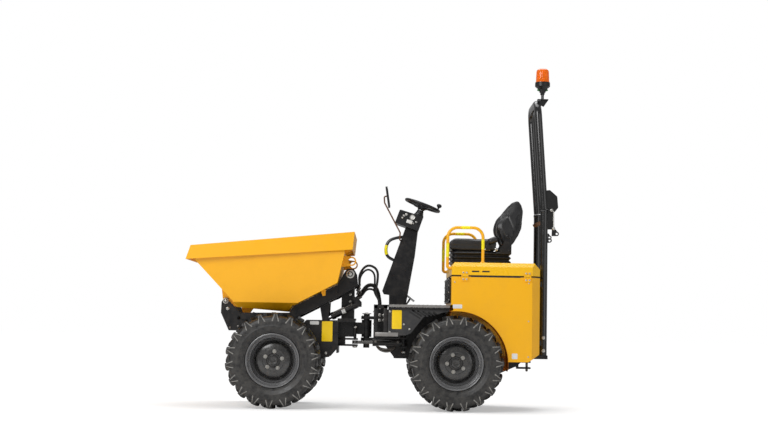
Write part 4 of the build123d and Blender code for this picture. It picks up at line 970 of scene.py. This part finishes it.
for share in (0.045, 0.225):
    addTurned(bm, mm((0, 42), (6, 42), (7, 36), (10, 35), (10, 27), (8, 26), (8, 20), (0, 20)), 14,
        axisFrame(foot + along * share, (0, -1, 0.2)))
showMesh("steering_ram_ports", bm, "steering_barrel", "darkSteel", 40)
bm = bmesh.new()
pivot = Vector(joints["articulation"]["pos_m"])
addTurned(bm, mm((0, 12), (10, 12), (14, 8), (36, 6), (38, 0), (0, 0)), 6,
    axisFrame(at(pivot.x * 1000, 0, 379.5), (0, 0, 1)))
for k in range(3):
    a = math.radians(60 + 120 * k)
    addBolt(bm, at(pivot.x * 1000 + 33 * math.cos(a), 33 * math.sin(a), 362), (0, 0, 1), 0.006)
showMesh("pivot_pin_nut", bm, "rear_frame", "zincSteel", 40)
print("front half dressed")

# skip: weld beads under the rim, coloured dark brown as painted shadow beneath the rim band, and bushes in the
# lifting eyes
bm = bmesh.new()
for hand in (-1, 1):
    bead = [at(-1412, hand * 489.5, 868), at(-1100, hand * 490.5, 881), at(-700, hand * 490.5, 892),
        at(-240, hand * 489.5, 906)]
    path = [bead[i].lerp(bead[i + 1], k / 40) for i in range(3) for k in range(40)] + [bead[-1]]
    addTube(bm, path, lambda t: 0.0032 + 0.0006 * math.sin(t * 400), 8)
showMesh("skip_weld_beads", bm, "skip", "skipShade", 60)
bm = bmesh.new()
for hand in (-1, 1):
    addTurned(bm, mm((26.2, -9.5), (33, -9.5), (33, 9.5), (26.2, 9.5)), 36,
        axisFrame(at(-181, hand * 360, 795), (0, 1, 0)), closed=True)
showMesh("lifting_eye_bushes", bm, "skip", "skipPaint", 40)

# footplate: raised tread pattern, edge trim and bolts
tread = {"pitch": 0.034, "long": 0.0125, "wide": 0.0035, "high": 0.0016}
plateLow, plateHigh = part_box("footplate")
bm = bmesh.new()
columns = int((plateHigh.x - plateLow.x - 0.02) / tread["pitch"])
rows = int((plateHigh.y - plateLow.y - 0.02) / tread["pitch"])
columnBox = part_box("steering_column")


def addLozenge(bm, placed):
    a, b, h = tread["long"], tread["wide"], tread["high"]
    ring = [bm.verts.new(placed @ Vector(p)) for p in ((a, 0, 0), (a * 0.45, b, 0), (-a * 0.45, b, 0),
        (-a, 0, 0), (-a * 0.45, -b, 0), (a * 0.45, -b, 0))]
    ridge = [bm.verts.new(placed @ Vector(p)) for p in ((a * 0.6, 0, h), (-a * 0.6, 0, h))]
    for k, top in enumerate(((0,), (0, 1), (1,), (1,), (1, 0), (0,))):
        bm.faces.new([ring[k], ring[(k + 1) % 6]] + [ridge[i] for i in top[::-1]])


for i in range(columns):
    for j in range(rows):
        x = plateLow.x + 0.02 + (i + 0.5) * tread["pitch"]
        y = plateLow.y + 0.02 + (j + 0.5) * tread["pitch"]
        if columnBox[0].x - 0.02 < x < 0.275 and abs(y) < 0.09:
            continue
        turned = rotated(45 if (i + j) % 2 else -45, "Z")
        addLozenge(bm, Matrix.Translation((x, y, plateHigh.z)) @ turned)
for hand in (-1, 1):
    for i in range(int((plateHigh.x - plateLow.x) / 0.022) - 1):
        x = plateLow.x + 0.016 + i * 0.022
        facing = facingSide((x, hand * plateHigh.y, plateHigh.z - 0.018), hand)
        addLozenge(bm, facing @ rotated(45 if i % 2 else -45, "Z") @ Matrix.Scale(0.8, 4))
showMesh("footplate_tread", bm, "rear_frame", "chequerSteel", 20)
bm = bmesh.new()
for hand in (-1, 1):
    for x, h in ((132, 236), (132, 400), (244, 300), (290, 262)):
        addBolt(bm, at(x, hand * 384, h), (0, hand, 0), 0.007)
    for x, h in ((1366, 212), (1366, 108)):
        addBolt(bm, at(x, hand * 279.5, h), (0, hand, 0), 0.012)
    addBolt(bm, at(1425, hand * 270, 1240), (0, hand, 0), 0.010, stud=True)
for x in (40, 90):
    for hand in (-1, 1):
        addBolt(bm, at(3, hand * 300, 220 + 2 * x), (-1, 0, 0), 0.007)
showMesh("rear_frame_bolts", bm, "rear_frame", "zincSteel", 40)

# roll bar: band clamp on the right leg, collars and foot caps
bm = bmesh.new()
lean = Matrix.Translation(at(1366, 250, 1160)) @ rotated(-30, "Y")
addTurned(bm, mm((34.5, -17), (36.5, -17), (37.5, -12), (37.5, 12), (36.5, 17), (34.5, 17)), 36, lean,
    closed=True)
showMesh("leg_band_clamp", bm, "rear_frame", "rustBrown", 40)
bm = bmesh.new()
for hand in (-1, 1):
    addTurned(bm, mm((30.5, -10), (32.5, -8), (32.5, 8), (30.5, 10)), 36,
        axisFrame(at(1366, hand * 250, 1228), (0, 0, 1)), closed=True)
    addTurned(bm, mm((0, 0.5), (26, 0.5), (29, -3), (29, -6), (0, -6)), 28,
        axisFrame(at(1366, hand * 250, 71.5), (0, 0, -1)))
showMesh("leg_collars", bm, "rear_frame", "barPaint", 40)

# beacon: fluted amber lens with its reflector, seal ring and stem clamp
lensLow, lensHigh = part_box("beacon_lens")
centre = Vector(((lensLow.x + lensHigh.x) / 2, (lensLow.y + lensHigh.y) / 2, 0))
lens = {"flutes": 30, "wall": 0.0035, "depth": 0.0009}
bm = bmesh.new()
height = lensHigh.z - lensLow.z
steps = 180
outer = mm((56, 0), (56, 10), (54.5, 14), (52.5, 60), (51, 94), (46.5, 105), (36, 112.5), (0, 115.2))
rings = []
for r, d in outer:
    ring = []
    for k in range(steps):
        a = 2 * math.pi * k / steps
        ripple = lens["depth"] * abs(math.sin(a * lens["flutes"] / 2)) if 0.012 < d < 0.1 else 0
        ring.append(bm.verts.new(centre + Vector(((r - ripple) * math.cos(a), (r - ripple) * math.sin(a),
            lensLow.z + d))))
    rings.append(ring)
bridge(bm, rings)
bmesh.ops.remove_doubles(bm, verts=bm.verts[:], dist=1e-6)
lensPiece = showMesh("beacon_lens_shown", bm, "hoop", "amberLens", 50)
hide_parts("beacon_lens")
bm = bmesh.new()
core = Matrix.Translation(centre + Vector((0, 0, lensLow.z)))
addTurned(bm, mm((0, 1), (20, 1), (20, 30), (12, 36), (9, 62), (4, 70), (0, 70)), 24, core)
bowl = core @ Matrix.Translation((0.010, 0, 0.052)) @ rotated(-75, "Y")
addTurned(bm, mm((4, 4), (16, 8), (26, 16), (31, 26), (32.5, 26), (28, 15), (17, 6), (4, 2)), 32, bowl,
    closed=True)
showMesh("beacon_reflector", bm, "hoop", "reflectorYellow", 40)
bm = bmesh.new()
addTurned(bm, mm((57.5, -4), (60, -3), (60, 3), (57.5, 4)), 48, core, closed=True)
for y in (-0.016, 0.016):
    addBox(bm, (centre.x - 0.016, centre.y + y - 0.004, lensLow.z - 0.098),
        (centre.x + 0.016, centre.y + y + 0.004, lensLow.z - 0.066), 0.002)
showMesh("beacon_clamp", bm, "hoop", "blackPlastic", 40)
bm = bmesh.new()
for x in (-0.034, 0.034):
    addTurned(bm, mm((0, 10), (5, 10), (7, 7), (7, -7), (5, -10), (0, -10)), 14,
        axisFrame(centre + Vector((x, 0, lensLow.z - 0.060)), (1 if x > 0 else -1, 0, 0.4)))
showMesh("beacon_clamp_lugs", bm, "hoop", "lugGreen", 40)

# tow clevis pin with its ring
bm = bmesh.new()
spot = at(1262, 0, 0)
addTurned(bm, mm((0, 55), (12, 55), (15, 50), (15, 18.5), (10.2, 18), (10.2, -62), (7, -68), (0, -68)), 24,
    axisFrame(spot, (0, 0, 1)))
loop = [spot + Vector((0.020 * math.cos(a), 0, 0.044 + 0.020 * math.sin(a)))
    for a in [2 * math.pi * k / 24 for k in range(25)]]
addTube(bm, [p + Vector((0.020, 0, 0)) for p in loop], 0.003, 8)
showMesh("tow_pin", bm, "rear_frame", "darkSteel", 40)
print("rear half dressed")

# side panels: cooling slots drawn as dark plates that paint the shade inside the openings, step plates and
# tread bars
bm = bmesh.new()
slots = [(285, 105), (323, 74), (361, 58), (399, 50), (437, 42), (475, 34)]
for hand in (-1, 1):
    for x, long in slots:
        mid = at(x + 0.425 * long, hand * 384.1, 403 - 0.265 * long)
        facing = facingSide(mid, hand) @ rotated(31.9 * hand, "Z")
        addPlate(bm, roundedLoop((long / 2000, 0.0062), 0.006), 0.0008, facing)
showMesh("panel_slot_shade", bm, "rear_frame", "sealRubber", 40)
bm = bmesh.new()
tread = bmesh.new()
for hand in (-1, 1):
    inner, outer = sorted((hand * 0.3805, hand * 0.3845))
    for x in (4, 82):
        addBox(bm, (x / 1000, inner, 0.196 + axleZ), ((x + 30) / 1000, outer, 0.448 + axleZ), 0.001)
    addBox(bm, (0.004, inner, 0.424 + axleZ), (0.114, outer, 0.450 + axleZ), 0.001)
    low, high = sorted((hand * 0.381, hand * 0.392))
    addBox(tread, (0.016, low, 0.202 + axleZ), (0.200, high, 0.234 + axleZ), 0.003)
    edge = sorted((hand * (plateHigh.y + 0.0002), hand * (plateHigh.y + 0.0012)))
    addBox(tread, (plateLow.x + 0.002, edge[0], plateHigh.z - 0.020),
        (plateHigh.x - 0.002, edge[1], plateHigh.z - 0.001), 0.0)
showMesh("step_plates", bm, "rear_frame", "steelPaint", 30)
showMesh("step_treads", tread, "rear_frame", "chequerSteel", 30)
# pedals on the footplate
bm = bmesh.new()
for y in (-150, 150):
    foot = at(262, y, 459)
    addTube(bm, [foot, foot + Vector((0.022, 0, 0.030)), foot + Vector((0.034, 0, 0.052))], 0.007, 10)
    lean = Matrix.Translation(foot + Vector((0.030, 0, 0.058))) @ rotated(38, "Y")
    addPlate(bm, roundedLoop((0.048, 0.032), 0.010), 0.005, lean, 0.0012)
showMesh("pedals", bm, "rear_frame", "blackPlastic", 40)

# wheel arches: pressed liner round the rear tyres with its inner wall, coloured orange-brown as painted shade
# on the yellow paint inside the arch
arch = {"radius": 0.4095, "start": -8, "stop": 97, "steps": 48, "inside": 0.302}
axle = Vector(joints["wheel_rear_left_spin"]["pos_m"])
bm = bmesh.new()
for hand in (-1, 1):
    rows = []
    for k in range(arch["steps"] + 1):
        a = math.radians(arch["start"] + (arch["stop"] - arch["start"]) * k / arch["steps"])
        turn = Vector((math.cos(a), 0, math.sin(a)))
        rows.append([bm.verts.new(Vector((axle.x, hand * y, axle.z)) + turn * r) for y,
            r in ((0.474, arch["radius"]), (arch["inside"], arch["radius"]),
            (arch["inside"] - 0.003, arch["radius"] - 0.004), (arch["inside"] - 0.003, 0.300),
            (arch["inside"] - 0.006, 0.300), (arch["inside"] - 0.006, arch["radius"] + 0.0015),
            (0.474, arch["radius"] + 0.0015))])
    bridge(bm, rows)
    bm.faces.new(rows[0])
    bm.faces.new(rows[-1][::-1])
showMesh("arch_liners", bm, "rear_frame", "archLinerShade", 40)

# dark lip under the cover seam, on both sides
bm = bmesh.new()
for hand in (-1, 1):
    facing = facingSide((0.961, hand * 0.4802, 0.6905 + axleZ), hand)
    outline = mm((-198, -6), (-192, -8.5), (192, -8.5), (198, -6), (198, 5), (-198, 5))
    addPlate(bm, outline, 0.0012, facing)
showMesh("seam_lip", bm, "rear_frame", "sealRubber", 40)

# steering boot, hip bolsters, slide rods and the shell behind the seat
bm = bmesh.new()
boot = wheelFrame @ Matrix.Translation((0, 0, -0.050))
addTurned(bm, mm((21.5, 6), (26, 4), (30, -8), (29, -12), (34, -20), (33, -24), (40, -34), (39, -38), (44, -46),
    (21.5, -46)), 32, boot, closed=True)
showMesh("steering_boot", bm, "rear_frame", "blackPlastic", 45)
bm = bmesh.new()
metal = bmesh.new()
shell = bmesh.new()
for hand in (-1, 1):
    path = [at(912 + 15 * k, hand * 212, 972 + 6 * k) for k in range(7)]
    addTube(bm, path, lambda t: 0.027 * math.sqrt(max(0.06, 1 - (2 * t - 1) ** 4)), 18)
    addTube(metal, [at(872, hand * 231, 914), at(934, hand * 231, 914)], 0.0065, 12)
    addBolt(metal, at(985, hand * 233.5, 917), (0, hand, 0), 0.011)
    facing = Matrix.Translation((0, hand * 0.2095 + (0.004 if hand > 0 else 0), 0)) @ rotated(90, "X")
    outline = [(1034, 1106), (1040, 1078), (1058, 1062), (1078, 1066), (1104, 1096), (1130, 1112), (1164, 1124),
        (1193, 1140), (1186, 1090), (1160, 1030), (1130, 985), (1104, 950), (1072, 930), (1056, 960),
        (1030, 1020), (1014, 1060)]
    addPlate(shell, sideOutline(*outline), 0.004, facing, 0.0012)
for vert in shell.verts:  # follows the narrowing of the padded back
    share = min(1.0, max(0.0, (vert.co.z - backTaper["from"]) / backTaper["over"]))
    vert.co.y *= 1 - backTaper["inward"] * share * share * (3 - 2 * share)
showMesh("hip_bolsters", bm, "cover", "seatVinyl", 50)
showMesh("seat_slide_rods", metal, "cover", "zincSteel", 40)
showMesh("seat_shell", shell, "cover", "blackPlastic", 40)

# couplings on the valve block, nuts on the steering ram pins, hard pipes
bm = bmesh.new()
black = bmesh.new()
for hand in (-1, 1):
    for x, h in ((52, 372), (86, 372), (52, 330), (86, 330)):
        spot = at(x, hand * 60, h)
        addTurned(bm, mm((0, 30), (7, 30), (9, 26), (9, 16), (13, 15), (13, 4), (11, 0), (0, 0)), 14,
            axisFrame(spot, (0, hand, 0)))
showMesh("zinc_couplings", bm, "rear_frame", "zincSteel", 40)
for body, x, ends in (("front_frame", -147, ((264, 1), (118, -1))), ("rear_frame", 248, ((210, 1), (80, -1)))):
    bm = bmesh.new()
    for h, way in ends:
        addTurned(bm, mm((0, 13), (12, 13), (19, 8), (19, 0.5), (0, 0.5)), 6,
            axisFrame(at(x, -150, h), (0, 0, way)))
    showMesh("ram_pin_nuts_" + body, bm, body, "zincSteel", 40)
for y, h in ((-84, 88), (-84, 64), (84, 84)):
    addTube(black, smoothPath([at(24, y * 0.6, 150), at(30, y, 100), at(60, y, h), at(150, y, h),
        at(176, y * 0.9, 110)], 6), 0.009, 12)
showMesh("hard_pipes", black, "rear_frame", "darkSteel", 40)

print("details dressed")
